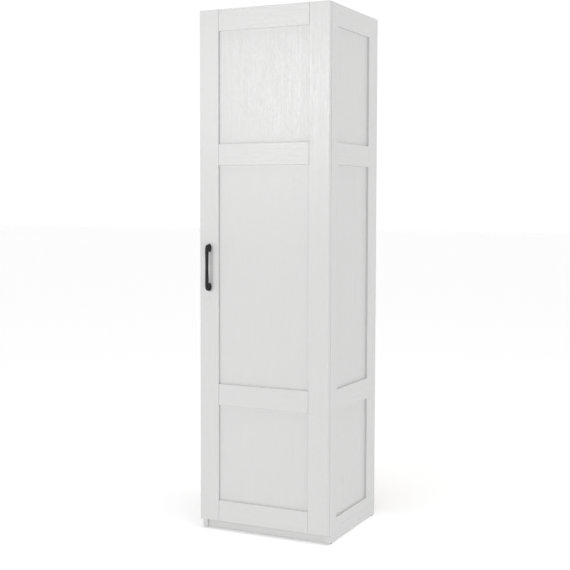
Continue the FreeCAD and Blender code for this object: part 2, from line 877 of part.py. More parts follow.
def handle_screw(end):
    """Machine screw from inside the door into a foot of the handle."""
    x = handle_inset - half_width
    z = handle_middle_height + end * handle_screw_spacing / 2
    profile = [
        (handle_screw_head_radius, -handle_screw_head_height),
        (handle_screw_head_radius, 0),
        (handle_screw_radius, 0),
        (handle_screw_radius, door_thickness + handle_screw_depth),
    ]
    return faceted(profile, Vector(x, door_back_y, z), -BACK)


# ---------------------------------------------------------------- bumpers and wall bracket

def door_bumper(height):
    """Soft dot on the door's inner face, opposite the left side's front edge."""
    thickness = door_gap - bumper_squeeze
    dome = 0.5
    profile = [
        (bumper_radius, 0),
        (bumper_radius, thickness - dome),
        (bumper_radius - dome, thickness),
    ]
    return faceted(profile, Vector(bumper_inset - half_width, door_back_y, height), BACK, cam_sides)


def wall_bracket():
    """Angle of steel under the top board, against the back, for a screw into the wall."""
    half = bracket_width / 2
    rear = back_panel_front_y
    corners = [
        Vector(-half, rear, top_board_bottom),
        Vector(-half, rear, top_board_bottom - bracket_leg),
        Vector(-half, rear - bracket_sheet, top_board_bottom - bracket_leg),
        Vector(-half, rear - bracket_sheet, top_board_bottom - bracket_sheet),
        Vector(-half, rear - bracket_leg, top_board_bottom - bracket_sheet),
        Vector(-half, rear - bracket_leg, top_board_bottom),
    ]
    angle = prism(corners, RIGHT * bracket_width)
    height = top_board_bottom - bracket_leg / 2
    hole = rod(bracket_hole_radius, Vector(0, rear - bracket_sheet, height), Vector(0, rear, height))
    return angle.cut([hole] + [bracket_screw(end) for end in (-1, 1)])


def bracket_screw(end):
    """Screw up through the bracket into the top board."""
    x = end * bracket_screw_spacing / 2
    y = back_panel_front_y - bracket_leg + bracket_screw_inset
    return countersunk_screw(Vector(x, y, top_board_bottom - bracket_sheet), UP, bracket_screw_length)


# ---------------------------------------------------------------- the pieces, node by node

def save_door():
    """Door frame and panels, bored for the cups, their screws and the handle's screws."""
    pieces = door_wall().pieces()
    handle_bores = [handle_screw(end) for end in (-1, 1)]
    cup_bores = [cup_bore(middle) for middle in hinge_heights]
    screw_bores = [cup_screw(middle, end) for middle in hinge_heights for end in (-1, 1)]
    save("door_left_stile", pieces["first_stile"].cut(handle_bores))
    save("door_right_stile", pieces["second_stile"].cut(cup_bores + screw_bores))
    for name in ("bottom_rail", "lower_rail", "upper_rail", "top_rail"):
        save("door_" + name, pieces[name])
    for name in ("bottom_panel", "middle_panel", "top_panel"):
        save("door_" + name, pieces[name])


def save_side(side, word):
    """One side of the carcass with every bore and groove that its fittings need."""
    pieces = side_wall(side).pieces()
    cuts = dowel_bores() + bolt_bores() + glide_bores() + [back_panel_slot()]
    if side < 0:
        cuts = cuts + pin_holes()
    else:
        cuts = cuts + [plate_screw(middle, end) for middle in hinge_heights for end in (-1, 1)]
    save(word + "_front_stile", pieces["first_stile"].cut(cuts))
    save(word + "_back_stile", pieces["second_stile"].cut(cuts))
    for name in ("bottom_rail", "lower_rail", "upper_rail", "top_rail"):
        save(word + "_" + name, pieces[name].cut(dowel_bores() + bolt_bores()))
    for name in ("bottom_panel", "middle_panel", "top_panel"):
        save(word + "_" + name, pieces[name])


def save_boards():
    """Boards, plinth, divider, shelves and back."""
    bores = dowel_bores() + bolt_bores() + cam_bores()
    slot = back_panel_slot()
    left, right = -inner_half_width, inner_half_width
    top = block((left, carcass_front_y, top_board_bottom), (right, carcass_back_y, cabinet_height))
    bracket_bores = [bracket_screw(end) for end in (-1, 1)]
    save("top_board", top.cut(bores + bracket_bores + [slot]))
    bottom = block((left, carcass_front_y, bottom_board_height), (right, carcass_back_y, bottom_board_top))
    save("bottom_board", bottom.cut(bores + [slot]))
    hat = block((left, carcass_front_y, hat_shelf_height), (right, back_panel_front_y, hat_shelf_top))
    save("hat_shelf", hat.cut(bores))
    plinth_y = carcass_front_y + plinth_setback
    plinth_back = plinth_y + board_thickness
    save("plinth", block((left, plinth_y, plinth_floor_gap), (right, plinth_back, bottom_board_height)))
    divider = block(
        (divider_left_x, inner_front_y, bottom_board_top),
        (divider_right_x, back_panel_front_y, hat_shelf_height))
    save("divider", divider.cut(divider_dowels(dowel_radius + fastener_clearance) + pin_holes()))
    for name, underside in zip(("low_shelf", "middle_shelf", "high_shelf"), small_shelf_heights):
        save(name, small_shelf(underside))
    save("back_panel", back_panel())


def save_fittings():
    """Fasteners, supports, hinges, handle, bumpers, glides and bracket."""
    save("dowels", dowels())
    save("cam_bolts", [cam_bolt(*place) for place in bolt_places])
    save("cam_locks", [cam_lock(*place) for place in bolt_places])
    save("shelf_pins", shelf_pins())
    save("floor_glides", [floor_glide(*place) for place in glide_places()])
    save("hinge_cups", [hinge_cup(middle) for middle in hinge_heights])
    save("hinge_cup_screws", [cup_screw(middle, end) for middle in hinge_heights for end in (-1, 1)])
    save("hinge_cup_pins", [
        hinge_rod(door_pivot_in, -door_pivot_deep, middle, cup_pin_length(), hinge_pin_radius)
        for middle in hinge_heights])
    save("hinge_links", [hinge_link(middle) for middle in hinge_heights])
    save("hinge_arm_pins", [
        hinge_rod(arm_pivot_in, -arm_pivot_deep, middle, arm_width, hinge_pin_radius)
        for middle in hinge_heights])
    save("hinge_arms", [hinge_arm(middle) for middle in hinge_heights])
    save("hinge_arm_screws", [arm_screw(middle) for middle in hinge_heights])
    save("hinge_plates", [hinge_plate(middle) for middle in hinge_heights])
    save("hinge_plate_screws", [plate_screw(middle, end) for middle in hinge_heights for end in (-1, 1)])
    save("door_handle", door_handle())
    save("handle_screws", [handle_screw(end) for end in (-1, 1)])
    bumper_heights = (door_bottom + bumper_end_inset, cabinet_height - bumper_end_inset)
    save("door_bumpers", [door_bumper(height) for height in bumper_heights])
    save("wall_bracket", wall_bracket())
    save("wall_bracket_screws", [bracket_screw(end) for end in (-1, 1)])


save_door()
save_side(-1, "left")
save_side(1, "right")
save_boards()
save_fittings()
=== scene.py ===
"""Looks of a tall white broom cupboard with a framed door on concealed hinges and a black bow handle.

Lengths are in metres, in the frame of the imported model: X to the right, Y to the back, Z up, with the
origin on the floor. Sizes of small fittings are named in millimetres and turned to metres by MM.
"""

import json
import logging
import math
from dataclasses import dataclass
from enum import Enum

import bmesh
import bpy
import numpy as np
from mathutils import Matrix, Vector


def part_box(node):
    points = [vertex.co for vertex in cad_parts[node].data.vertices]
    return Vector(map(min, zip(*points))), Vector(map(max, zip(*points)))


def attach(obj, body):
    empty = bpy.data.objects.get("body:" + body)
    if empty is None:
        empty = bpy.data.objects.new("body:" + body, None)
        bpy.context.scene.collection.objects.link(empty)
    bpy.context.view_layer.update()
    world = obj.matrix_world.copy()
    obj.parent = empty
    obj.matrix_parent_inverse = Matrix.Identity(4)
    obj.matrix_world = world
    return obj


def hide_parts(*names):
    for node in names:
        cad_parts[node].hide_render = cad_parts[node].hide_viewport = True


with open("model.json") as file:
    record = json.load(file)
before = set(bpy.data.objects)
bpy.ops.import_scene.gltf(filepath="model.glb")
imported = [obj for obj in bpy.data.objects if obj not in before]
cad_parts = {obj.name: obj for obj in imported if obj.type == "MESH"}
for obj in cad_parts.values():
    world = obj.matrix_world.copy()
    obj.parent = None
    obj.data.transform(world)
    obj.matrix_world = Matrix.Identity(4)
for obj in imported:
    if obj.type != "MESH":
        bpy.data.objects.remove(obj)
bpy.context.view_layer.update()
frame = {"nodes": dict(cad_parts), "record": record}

Material = bpy.types.Material
Socket = bpy.types.NodeSocket
Tree = bpy.types.NodeTree

MM = 0.001
FACE_ROWS = 15
BEND_ROWS = 6
LOG = logging.getLogger("broom_cupboard")

BODY_OF = {node: body for body, nodes in frame["record"]["behaviour"]["bodies"].items() for node in nodes}

RIGHT = np.array([1.0, 0.0, 0.0])
BACK = np.array([0.0, 1.0, 0.0])
UP = np.array([0.0, 0.0, 1.0])


# ---------------------------------------------------------------- colours and nodes


def linear(colour: str) -> tuple[float, float, float, float]:
    """Turns an sRGB hex colour into the linear colour that shaders take.

    Args:
        colour: Six hex digits after a hash.

    Returns:
        Linear red, green, blue and an alpha of one.
    """
    shades = np.array([int(colour[at:at + 2], 16) for at in (1, 3, 5)]) / 255
    straight = np.where(shades <= 0.04045, shades / 12.92, ((shades + 0.055) / 1.055) ** 2.4)
    return (*map(float, straight), 1.0)


def add_node(tree: Tree, kind: str, settings: dict, wires: dict) -> bpy.types.Node:
    """Adds one shader node with its settings and links.

    Args:
        tree: Node tree that takes the node.
        kind: Blender's name for the kind of node.
        settings: Property names, input names or input numbers, with their values.
        wires: Input names or numbers, with the output sockets that feed them.

    Returns:
        The new node.
    """
    node = tree.nodes.new(kind)
    for name, value in settings.items():
        if isinstance(name, str) and hasattr(node, name):
            setattr(node, name, value)
        else:
            node.inputs[name].default_value = value
    for name, socket in wires.items():
        tree.links.new(socket, node.inputs[name])
    return node


def new_material(name: str) -> tuple[Material, Tree, Socket]:
    """Makes an empty node material.

    Args:
        name: The material's name.

    Returns:
        The material, its emptied node tree and the object coordinates, in metres.
    """
    material = bpy.data.materials.new(name)
    material.use_nodes = True
    tree = material.node_tree
    tree.nodes.clear()
    place = add_node(tree, "ShaderNodeTexCoord", {}, {}).outputs["Object"]
    return material, tree, place


def end_material(tree: Tree, settings: dict, wires: dict) -> None:
    """Closes a material with its principled shader and output.

    Args:
        tree: The material's node tree.
        settings: Fixed inputs of the shader.
        wires: Inputs of the shader that patterns feed.
    """
    shader = add_node(tree, "ShaderNodeBsdfPrincipled", settings, wires)
    add_node(tree, "ShaderNodeOutputMaterial", {}, {"Surface": shader.outputs[0]})


# ---------------------------------------------------------------- finishes


class Grain(Enum):
    """Way that a board's wood grain runs, as the number of its axis."""

    ACROSS = 0
    DEEP = 1
    UPRIGHT = 2

    def scale(self, width: float, length: float) -> tuple[float, ...]:
        """Cells per metre along X, Y and Z, for cells so wide and so long in millimetres."""
        return tuple(1 / (MM * (length if axis == self.value else width)) for axis in range(3))


@dataclass(frozen=True)
class EmbossedFoil:
    """White decor foil on fibreboard, pressed by a roller with a wood grain.

    The eye gets a satin white with fine lines along the board: long raised fibres, short pores that sit
    a little darker, and slow streaks. The raised lines are glossier, so the grain shows most where a
    light is mirrored. All of it is drawn coarser than real, because the real grain is finer than the
    render can show. Widths and lengths are in millimetres.
    """

    grain: Grain
    colour: str = "#D6D6D6"
    pore_colour: str = "#D2D2D1"
    roughness: float = 0.365
    polish: float = 0.27
    shine_span: tuple[float, float] = (0.62, 1.08)
    streak_width: float = 4.6
    streak_length: float = 520.0
    streak_share: float = 0.7
    fibre_width: float = 2.6
    fibre_length: float = 110.0
    pore_width: float = 1.1
    pore_length: float = 16.0
    pore_share: float = 0.5
    pore_span: tuple[float, float] = (0.56, 0.70)
    most_dark: float = 0.75
    dark_span: tuple[float, float] = (0.55, 1.15)
    wander: float = 2.4
    wander_width: float = 90.0
    wander_length: float = 520.0
    relief: float = 0.27
    bump_strength: float = 0.8

    def material(self) -> Material:
        """Builds the material for boards whose grain runs this finish's way.

        The height is fibres + a share of streaks - a share of pores, each a noise stretched along the
        grain, at places that a slow noise sways sideways.

        Returns:
            The foil, darker in its pores and glossier on its raised lines.
        """
        material, tree, place = new_material(f"embossed_white_foil_{self.grain.name.lower()}")
        slow = add_node(
            tree, "ShaderNodeMapping", {"Scale": self.grain.scale(self.wander_width, self.wander_length)},
            {"Vector": place})
        drift = add_node(
            tree, "ShaderNodeTexNoise", {"Scale": 1.0, "Detail": 1.0}, {"Vector": slow.outputs[0]}).outputs[1]
        sway = add_node(
            tree, "ShaderNodeVectorMath", {"operation": "MULTIPLY_ADD", 1: (self.wander * MM,) * 3},
            {0: drift, 2: place}).outputs[0]
        bands = []
        for width, length, detail, rough in (
            (self.streak_width, self.streak_length, 2.0, 0.5),
            (self.fibre_width, self.fibre_length, 3.0, 0.6),
            (self.pore_width, self.pore_length, 2.0, 0.5),
        ):
            turned = add_node(
                tree, "ShaderNodeMapping", {"Scale": self.grain.scale(width, length)}, {"Vector": sway})
            bands.append(add_node(
                tree, "ShaderNodeTexNoise", {"Scale": 1.0, "Detail": detail, "Roughness": rough},
                {"Vector": turned.outputs[0]}).outputs[0])
        streaks, fibres, pores = bands
        hollow = add_node(
            tree, "ShaderNodeMapRange", {"From Min": self.pore_span[0], "From Max": self.pore_span[1]},
            {"Value": pores}).outputs[0]
        raised = add_node(
            tree, "ShaderNodeMath", {"operation": "MULTIPLY_ADD", 1: self.streak_share},
            {0: streaks, 2: fibres}).outputs[0]
        height = add_node(
            tree, "ShaderNodeMath", {"operation": "MULTIPLY_ADD", 1: -self.pore_share},
            {0: hollow, 2: raised}).outputs[0]
        dark = add_node(
            tree, "ShaderNodeMapRange",
            {"From Min": self.dark_span[0], "From Max": self.dark_span[1],
             "To Min": self.most_dark, "To Max": 0.0},
            {"Value": height}).outputs[0]
        colour = add_node(
            tree, "ShaderNodeMix",
            {"data_type": "RGBA", 6: linear(self.colour), 7: linear(self.pore_colour)},
            {0: dark}).outputs[2]
        bump = add_node(
            tree, "ShaderNodeBump", {"Strength": self.bump_strength, "Distance": self.relief * MM},
            {"Height": height})
        shine = add_node(
            tree, "ShaderNodeMapRange",
            {"From Min": self.shine_span[0], "From Max": self.shine_span[1],
             "To Min": self.roughness, "To Max": self.polish},
            {"Value": raised}).outputs[0]
        end_material(
            tree, {"IOR": 1.5}, {"Base Color": colour, "Roughness": shine, "Normal": bump.outputs[0]})
        return material


@dataclass(frozen=True)
class MelamineBoard:
    """White melamine-faced chipboard with a fine pearl texture, pressed between steel plates.

    The eye gets an even satin white, broken only by a very fine orange-peel in the light. Pattern sizes
    and relief are in millimetres, as in every finish below.
    """

    colour: str = "#E2E2E0"
    roughness: tuple[float, float] = (0.36, 0.45)
    pearl: float = 1.6
    cloud: float = 111.0
    relief: float = 0.03
    bump_strength: float = 0.5

    def material(self) -> Material:
        """Builds the material.

        Returns:
            The white board, with slow clouds in its gloss and a fine orange-peel.
        """
        material, tree, place = new_material("white_melamine_board")
        pearl = add_node(
            tree, "ShaderNodeTexNoise", {"Scale": 1 / (self.pearl * MM), "Detail": 2.0}, {"Vector": place})
        cloud = add_node(
            tree, "ShaderNodeTexNoise", {"Scale": 1 / (self.cloud * MM), "Detail": 2.0}, {"Vector": place})
        sheen = add_node(
            tree, "ShaderNodeMapRange", {"To Min": self.roughness[0], "To Max": self.roughness[1]},
            {"Value": cloud.outputs[0]}).outputs[0]
        bump = add_node(
            tree, "ShaderNodeBump", {"Strength": self.bump_strength, "Distance": self.relief * MM},
            {"Height": pearl.outputs[0]})
        end_material(
            tree, {"Base Color": linear(self.colour), "IOR": 1.5},
            {"Roughness": sheen, "Normal": bump.outputs[0]})
        return material


@dataclass(frozen=True)
class LacqueredHardboard:
    """Hardboard, white lacquered on its inner face and bare on its rear face.

    Seen from inside it is a plain satin white. Seen from behind it is brown pressed wood fibre with
    darker flecks. A change at a plane inside the sheet parts the two.
    """

    face_plane: float
    lacquer: str = "#E0E0DD"
    fibre: str = "#8A6A48"
    fleck: str = "#6E5236"
    fleck_size: float = 2.2
    fleck_span: tuple[float, float] = (0.38, 0.66)
    lacquer_roughness: float = 0.42
    fibre_roughness: float = 0.85
    relief: float = 0.1
    bump_strength: float = 0.35

    def material(self) -> Material:
        """Builds the material.

        Returns:
            The sheet, white before the plane and brown behind it.
        """
        material, tree, place = new_material("lacquered_hardboard")
        depth = add_node(tree, "ShaderNodeSeparateXYZ", {}, {0: place}).outputs["Y"]
        behind = add_node(
            tree, "ShaderNodeMath", {"operation": "GREATER_THAN", 1: self.face_plane},
            {0: depth}).outputs[0]
        flecks = add_node(
            tree, "ShaderNodeTexNoise",
            {"Scale": 1 / (self.fleck_size * MM), "Detail": 5.0, "Roughness": 0.7},
            {"Vector": place}).outputs[0]
        spread = add_node(
            tree, "ShaderNodeMapRange", {"From Min": self.fleck_span[0], "From Max": self.fleck_span[1]},
            {"Value": flecks}).outputs[0]
        brown = add_node(
            tree, "ShaderNodeMix", {"data_type": "RGBA", 6: linear(self.fleck), 7: linear(self.fibre)},
            {0: spread}).outputs[2]
        colour = add_node(
            tree, "ShaderNodeMix", {"data_type": "RGBA", 6: linear(self.lacquer)},
            {0: behind, 7: brown}).outputs[2]
        rough = add_node(
            tree, "ShaderNodeMapRange",
            {"To Min": self.lacquer_roughness, "To Max": self.fibre_roughness},
            {"Value": behind}).outputs[0]
        bump = add_node(
            tree, "ShaderNodeBump", {"Strength": self.bump_strength, "Distance": self.relief * MM},
            {"Height": flecks})
        end_material(
            tree, {"IOR": 1.5}, {"Base Color": colour, "Roughness": rough, "Normal": bump.outputs[0]})
        return material


@dataclass(frozen=True)
class PlatedMetal:
    """Steel or zinc with a thin plated skin: a soft metal gleam, with fine rubbing and slow dull clouds."""

    name: str
    colour: str
    roughness: tuple[float, float]
    cloud: float = 7.0
    rub: float = 0.5
    relief: float = 0.012
    bump_strength: float = 0.4

    def material(self) -> Material:
        """Builds the material.

        Returns:
            The metal, with slow clouds in its gloss and fine rubbing.
        """
        material, tree, place = new_material(self.name)
        cloud = add_node(
            tree, "ShaderNodeTexNoise", {"Scale": 1 / (self.cloud * MM), "Detail": 3.0}, {"Vector": place})
        rub = add_node(
            tree, "ShaderNodeTexNoise", {"Scale": 1 / (self.rub * MM), "Detail": 2.0}, {"Vector": place})
        rough = add_node(
            tree, "ShaderNodeMapRange", {"To Min": self.roughness[0], "To Max": self.roughness[1]},
            {"Value": cloud.outputs[0]}).outputs[0]
        bump = add_node(
            tree, "ShaderNodeBump", {"Strength": self.bump_strength, "Distance": self.relief * MM},
            {"Height": rub.outputs[0]})
        end_material(
            tree, {"Base Color": linear(self.colour), "Metallic": 1.0},
            {"Roughness": rough, "Normal": bump.outputs[0]})
        return material


@dataclass(frozen=True)
class PaintedCasting:
    """Zinc casting under satin black powder paint: near black, with a soft sheen and a fine orange-peel."""

    colour: str = "#08090A"
    worn: str = "#0D0E10"
    roughness: tuple[float, float] = (0.19, 0.32)
    gloss_level: float = 0.38
    peel: float = 1.3
    cloud: float = 16.67
    relief: float = 0.04
    bump_strength: float = 0.5

    def material(self) -> Material:
        """Builds the material.

        Returns:
            The paint, with slow clouds of wear and a fine orange-peel.
        """
        material, tree, place = new_material("satin_black_painted_zinc")
        peel = add_node(
            tree, "ShaderNodeTexNoise", {"Scale": 1 / (self.peel * MM), "Detail": 3.0}, {"Vector": place})
        cloud = add_node(
            tree, "ShaderNodeTexNoise", {"Scale": 1 / (self.cloud * MM), "Detail": 3.0}, {"Vector": place})
        colour = add_node(
            tree, "ShaderNodeMix", {"data_type": "RGBA", 6: linear(self.colour), 7: linear(self.worn)},
            {0: cloud.outputs[0]}).outputs[2]
        rough = add_node(
            tree, "ShaderNodeMapRange", {"To Min": self.roughness[0], "To Max": self.roughness[1]},
            {"Value": peel.outputs[0]}).outputs[0]
        bump = add_node(
            tree, "ShaderNodeBump", {"Strength": self.bump_strength, "Distance": self.relief * MM},
            {"Height": peel.outputs[0]})
        end_material(
            tree, {"IOR": 1.5, "Specular IOR Level": self.gloss_level},
            {"Base Color": colour, "Roughness": rough, "Normal": bump.outputs[0]})
        return material


@dataclass(frozen=True)
class MouldedPlastic:
    """Injection-moulded plastic: an even colour with a faint spark-eroded texture from the mould."""

    name: str
    colour: str
    roughness: tuple[float, float]
    transmission: float = 0.0
    texture: float = 0.7
    relief: float = 0.03
    bump_strength: float = 0.3

    def material(self) -> Material:
        """Builds the material.

        Returns:
            The plastic, with the mould's fine texture.
        """
        material, tree, place = new_material(self.name)
        grit = add_node(
            tree, "ShaderNodeTexNoise", {"Scale": 1 / (self.texture * MM), "Detail": 2.0}, {"Vector": place})
        rough = add_node(
            tree, "ShaderNodeMapRange", {"To Min": self.roughness[0], "To Max": self.roughness[1]},
            {"Value": grit.outputs[0]}).outputs[0]
        bump = add_node(
            tree, "ShaderNodeBump", {"Strength": self.bump_strength, "Distance": self.relief * MM},
            {"Height": grit.outputs[0]})
        end_material(
            tree,
            {"Base Color": linear(self.colour), "IOR": 1.46, "Transmission Weight": self.transmission},
            {"Roughness": rough, "Normal": bump.outputs[0]})
        return material


@dataclass(frozen=True)
class TurnedBeech:
    """Plain beech, turned and fluted: warm buff wood with short darker rays along the grain."""

    colour: str = "#CBA97C"
    ray: str = "#A98456"
    ray_length: float = 6.25
    ray_width: float = 1.11
    ray_span: tuple[float, float] = (0.5, 0.72)
    roughness: float = 0.6

    def material(self) -> Material:
        """Builds the material.

        Returns:
            The wood, with its rays along X.
        """
        material, tree, place = new_material("turned_beech")
        stretched = add_node(
            tree, "ShaderNodeMapping", {"Scale": Grain.ACROSS.scale(self.ray_width, self.ray_length)},
            {"Vector": place})
        rays = add_node(
            tree, "ShaderNodeTexNoise", {"Scale": 1.0, "Detail": 4.0}, {"Vector": stretched.outputs[0]})
        marked = add_node(
            tree, "ShaderNodeMapRange", {"From Min": self.ray_span[0], "From Max": self.ray_span[1]},
            {"Value": rays.outputs[0]})
        colour = add_node(
            tree, "ShaderNodeMix", {"data_type": "RGBA", 6: linear(self.colour), 7: linear(self.ray)},
            {0: marked.outputs[0]}).outputs[2]
        end_material(tree, {"Roughness": self.roughness, "IOR": 1.5}, {"Base Color": colour})
        return material


# ---------------------------------------------------------------- shapes from arrays


def solids_of(node: str) -> list[np.ndarray]:
    """Finds the separate solids of a CAD node.

    Equal corners are made one, every corner starts with its own label, and the lowest label of each
    triangle spreads over its corners until nothing changes.

    Args:
        node: Name of the CAD node.

    Returns:
        For each solid, its lowest and highest corners as two rows.
    """
    mesh = frame["nodes"][node].data
    mesh.calc_loop_triangles()
    points = np.empty(len(mesh.vertices) * 3)
    mesh.vertices.foreach_get("co", points)
    corners = np.empty(len(mesh.loop_triangles) * 3, dtype=np.int32)
    mesh.loop_triangles.foreach_get("vertices", corners)
    places, same = np.unique(points.reshape(-1, 3).round(6), axis=0, return_inverse=True)
    triangles = same.reshape(-1)[corners].reshape(-1, 3)
    labels = np.arange(len(places))
    while True:
        spread = labels.copy()
        lowest = np.repeat(labels[triangles].min(axis=1)[:, None], 3, axis=1)
        np.minimum.at(spread, triangles, lowest)
        if (spread == labels).all():
            break
        labels = spread
    return [
        np.array([places[labels == label].min(axis=0), places[labels == label].max(axis=0)])
        for label in np.unique(labels)
    ]


def turned(profile: np.ndarray, base: np.ndarray, axis: np.ndarray, columns: int) -> np.ndarray:
    """Rings of a turned form.

    A point is base + axis * along + radius * (cos(turn) * one side + sin(turn) * the other side).

    Args:
        profile: Rows of radius and distance along the axis, each a number or one value per column.
        base: Point that the distances start from.
        axis: Unit vector of the axis.
        columns: Points round a ring.

    Returns:
        Points as (rows, columns, 3).
    """
    side = np.cross(axis, RIGHT if abs(axis @ RIGHT) < 0.9 else UP)
    side = side / np.linalg.norm(side)
    other = np.cross(axis, side)
    turn = np.linspace(0, 2 * math.pi, columns, endpoint=False)
    spokes = np.cos(turn)[:, None] * side + np.sin(turn)[:, None] * other
    radius = np.broadcast_to(profile[:, 0], (len(profile), columns))[..., None]
    along = np.broadcast_to(profile[:, 1], (len(profile), columns))[..., None]
    return base + spokes * radius + axis * along


def plain_profile(rows: list[tuple[float, float]], columns: int) -> np.ndarray:
    """Turns (radius, along) pairs into profile rows with one value per column."""
    return np.repeat(np.array(rows)[:, :, None], columns, axis=2)


def crossed_face(radius: float, reach: float, width: float, depth: float, columns: int) -> np.ndarray:
    """Profile rows of a head's face, from its middle to its rim, with a cross recess pressed in.

    The depth is full where the smaller of a point's two offsets across the face is under half the arms'
    width and the larger is under their reach. It fades over a ramp of 0.3 of their width, outside the
    one limit and inside the other.

    Args:
        radius: Radius of the face.
        reach: Half length of the recess's arms.
        width: Width of the recess's arms.
        depth: Depth of the recess.
        columns: Points round a ring.

    Returns:
        Rows of radius and distance along the axis into the head, one value per column.
    """
    turn = np.linspace(0, 2 * math.pi, columns, endpoint=False)
    radii = radius * np.linspace(0.02, 1, FACE_ROWS)
    first = np.abs(radii[:, None] * np.cos(turn))
    second = np.abs(radii[:, None] * np.sin(turn))
    near, far = np.minimum(first, second), np.maximum(first, second)
    ramp = width * 0.3
    inside = np.clip((width / 2 + ramp - near) / ramp, 0, 1) * np.clip((reach - far) / ramp, 0, 1)
    return np.stack([np.repeat(radii[:, None], columns, axis=1), depth * inside], axis=1)


class Piece:
    """One named mesh, gathered from closed rings of points, that stands for a CAD node."""

    def __init__(self, name: str) -> None:
        """Starts an empty piece.

        Args:
            name: The object's name.
        """
        self.name = name
        self.points: list[np.ndarray] = []
        self.faces: list[list[int]] = []
        self.count = 0

    def add_rings(self, rings: np.ndarray) -> None:
        """Adds a closed form: quads between neighbouring rings, and a face over each end ring.

        Args:
            rings: Points as (rows, columns, 3).
        """
        rows, columns = rings.shape[:2]
        row, column = np.meshgrid(np.arange(rows - 1), np.arange(columns), indexing="ij")
        beside = (column + 1) % columns
        here, onward = row * columns, (row + 1) * columns
        quads = np.stack(
            [here + column, here + beside, onward + beside, onward + column],
            axis=-1).reshape(-1, 4) + self.count
        self.faces += quads.tolist()
        self.faces.append((np.arange(columns)[::-1] + self.count).tolist())
        self.faces.append((np.arange(columns) + (rows - 1) * columns + self.count).tolist())
        self.points.append(rings.reshape(-1, 3))
        self.count += rows * columns

    def finish(self, node: str, material: Material, sharp: float = 38.0) -> bpy.types.Object:
        """Makes the object, with every shell's faces turned outwards, in place of its CAD node.

        Args:
            node: CAD node that it stands for.
            material: Its finish.
            sharp: Angle in degrees past which an edge shows as an edge.

        Returns:
            The finished object.
        """
        mesh = bpy.data.meshes.new(self.name)
        mesh.from_pydata(np.concatenate(self.points).tolist(), [], self.faces)
        shell = bmesh.new()
        shell.from_mesh(mesh)
        bmesh.ops.recalc_face_normals(shell, faces=shell.faces)
        shell.to_mesh(mesh)
        shell.free()
        return dress_piece(mesh, self.name, node, material, sharp)


def dress_piece(
    mesh: bpy.types.Mesh, name: str, node: str, material: Material, sharp: float
) -> bpy.types.Object:
    """Puts a mesh in the scene in place of a CAD node, on the node's body.

    Args:
        mesh: The finished mesh.
        name: The object's name.
        node: CAD node that it stands for.
        material: Its finish.
        sharp: Angle in degrees past which an edge shows as an edge.

    Returns:
        The object.
    """
    mesh.materials.clear()
    mesh.materials.append(material)
    mesh.shade_smooth()
    mesh.set_sharp_from_angle(angle=math.radians(sharp))
    piece = bpy.data.objects.new(name, mesh)
    bpy.context.scene.collection.objects.link(piece)
    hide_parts(node)
    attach(piece, BODY_OF[node])
    LOG.info("%s stands for %s on %s, %d faces", name, node, BODY_OF[node], len(mesh.polygons))
    return piece


def softened_copy(name: str, node: str, material: Material, width: float) -> bpy.types.Object:
    """Copies a CAD node with its triangles merged and its sharp edges rounded.

    Args:
        name: The object's name.
        node: CAD node that is copied and replaced.
        material: Its finish.
        width: Width of the rounding in millimetres.

    Returns:
        The object, with a live bevel.
    """
    mesh = bpy.data.meshes.new(name)
    shell = bmesh.new()
    shell.from_mesh(frame["nodes"][node].data)
    bmesh.ops.remove_doubles(shell, verts=shell.verts, dist=0.002 * MM)
    bmesh.ops.dissolve_limit(
        shell, angle_limit=math.radians(1), verts=shell.verts, edges=shell.edges, delimit=set())
    shell.to_mesh(mesh)
    shell.free()
    piece = dress_piece(mesh, name, node, material, sharp=30.0)
    bevel = piece.modifiers.new("rounded_edges", "BEVEL")
    bevel.width = width * MM
    bevel.segments = 2
    bevel.limit_method = "ANGLE"
    bevel.angle_limit = math.radians(28)
    return piece


def dress_node(node: str, material: Material) -> None:
    """Gives a CAD node its finish and leaves its shape.

    Args:
        node: CAD node that is dressed.
        material: Its finish.
    """
    slots = frame["nodes"][node].data.materials
    slots.clear()
    slots.append(material)
    LOG.info("%s keeps its shape and takes %s", node, material.name)


# ---------------------------------------------------------------- frames and boards


@dataclass
class FramedWalls:
    """Door, sides and plinth in foil, with the grain along each member and upright in the panels."""

    walls: tuple[tuple[str, Grain], ...] = (
        ("door", Grain.ACROSS), ("left", Grain.DEEP), ("right", Grain.DEEP))
    rails: tuple[str, ...] = ("bottom_rail", "lower_rail", "upper_rail", "top_rail")
    uprights: tuple[str, ...] = ("bottom_panel", "middle_panel", "top_panel")

    def build(self) -> None:
        """Dresses every member."""
        foils = {grain: EmbossedFoil(grain).material() for grain in Grain}
        for wall, rail_grain in self.walls:
            stiles = ("left_stile", "right_stile") if wall == "door" else ("front_stile", "back_stile")
            for member in stiles + self.uprights:
                dress_node(f"{wall}_{member}", foils[Grain.UPRIGHT])
            for member in self.rails:
                dress_node(f"{wall}_{member}", foils[rail_grain])
        dress_node("plinth", foils[Grain.ACROSS])


@dataclass
class Boards:
    """Melamine boards inside the carcass, and its thin back."""

    boards: tuple[str, ...] = (
        "top_board", "bottom_board", "hat_shelf", "divider", "low_shelf", "middle_shelf", "high_shelf")

    def build(self) -> None:
        """Dresses every board, and the back with its bare rear face."""
        melamine = MelamineBoard().material()
        for board in self.boards:
            dress_node(board, melamine)
        low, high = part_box("back_panel")
        face_plane = (low[1] + 3 * high[1]) / 4
        dress_node("back_panel", LacqueredHardboard(face_plane).material())


# ---------------------------------------------------------------- handle


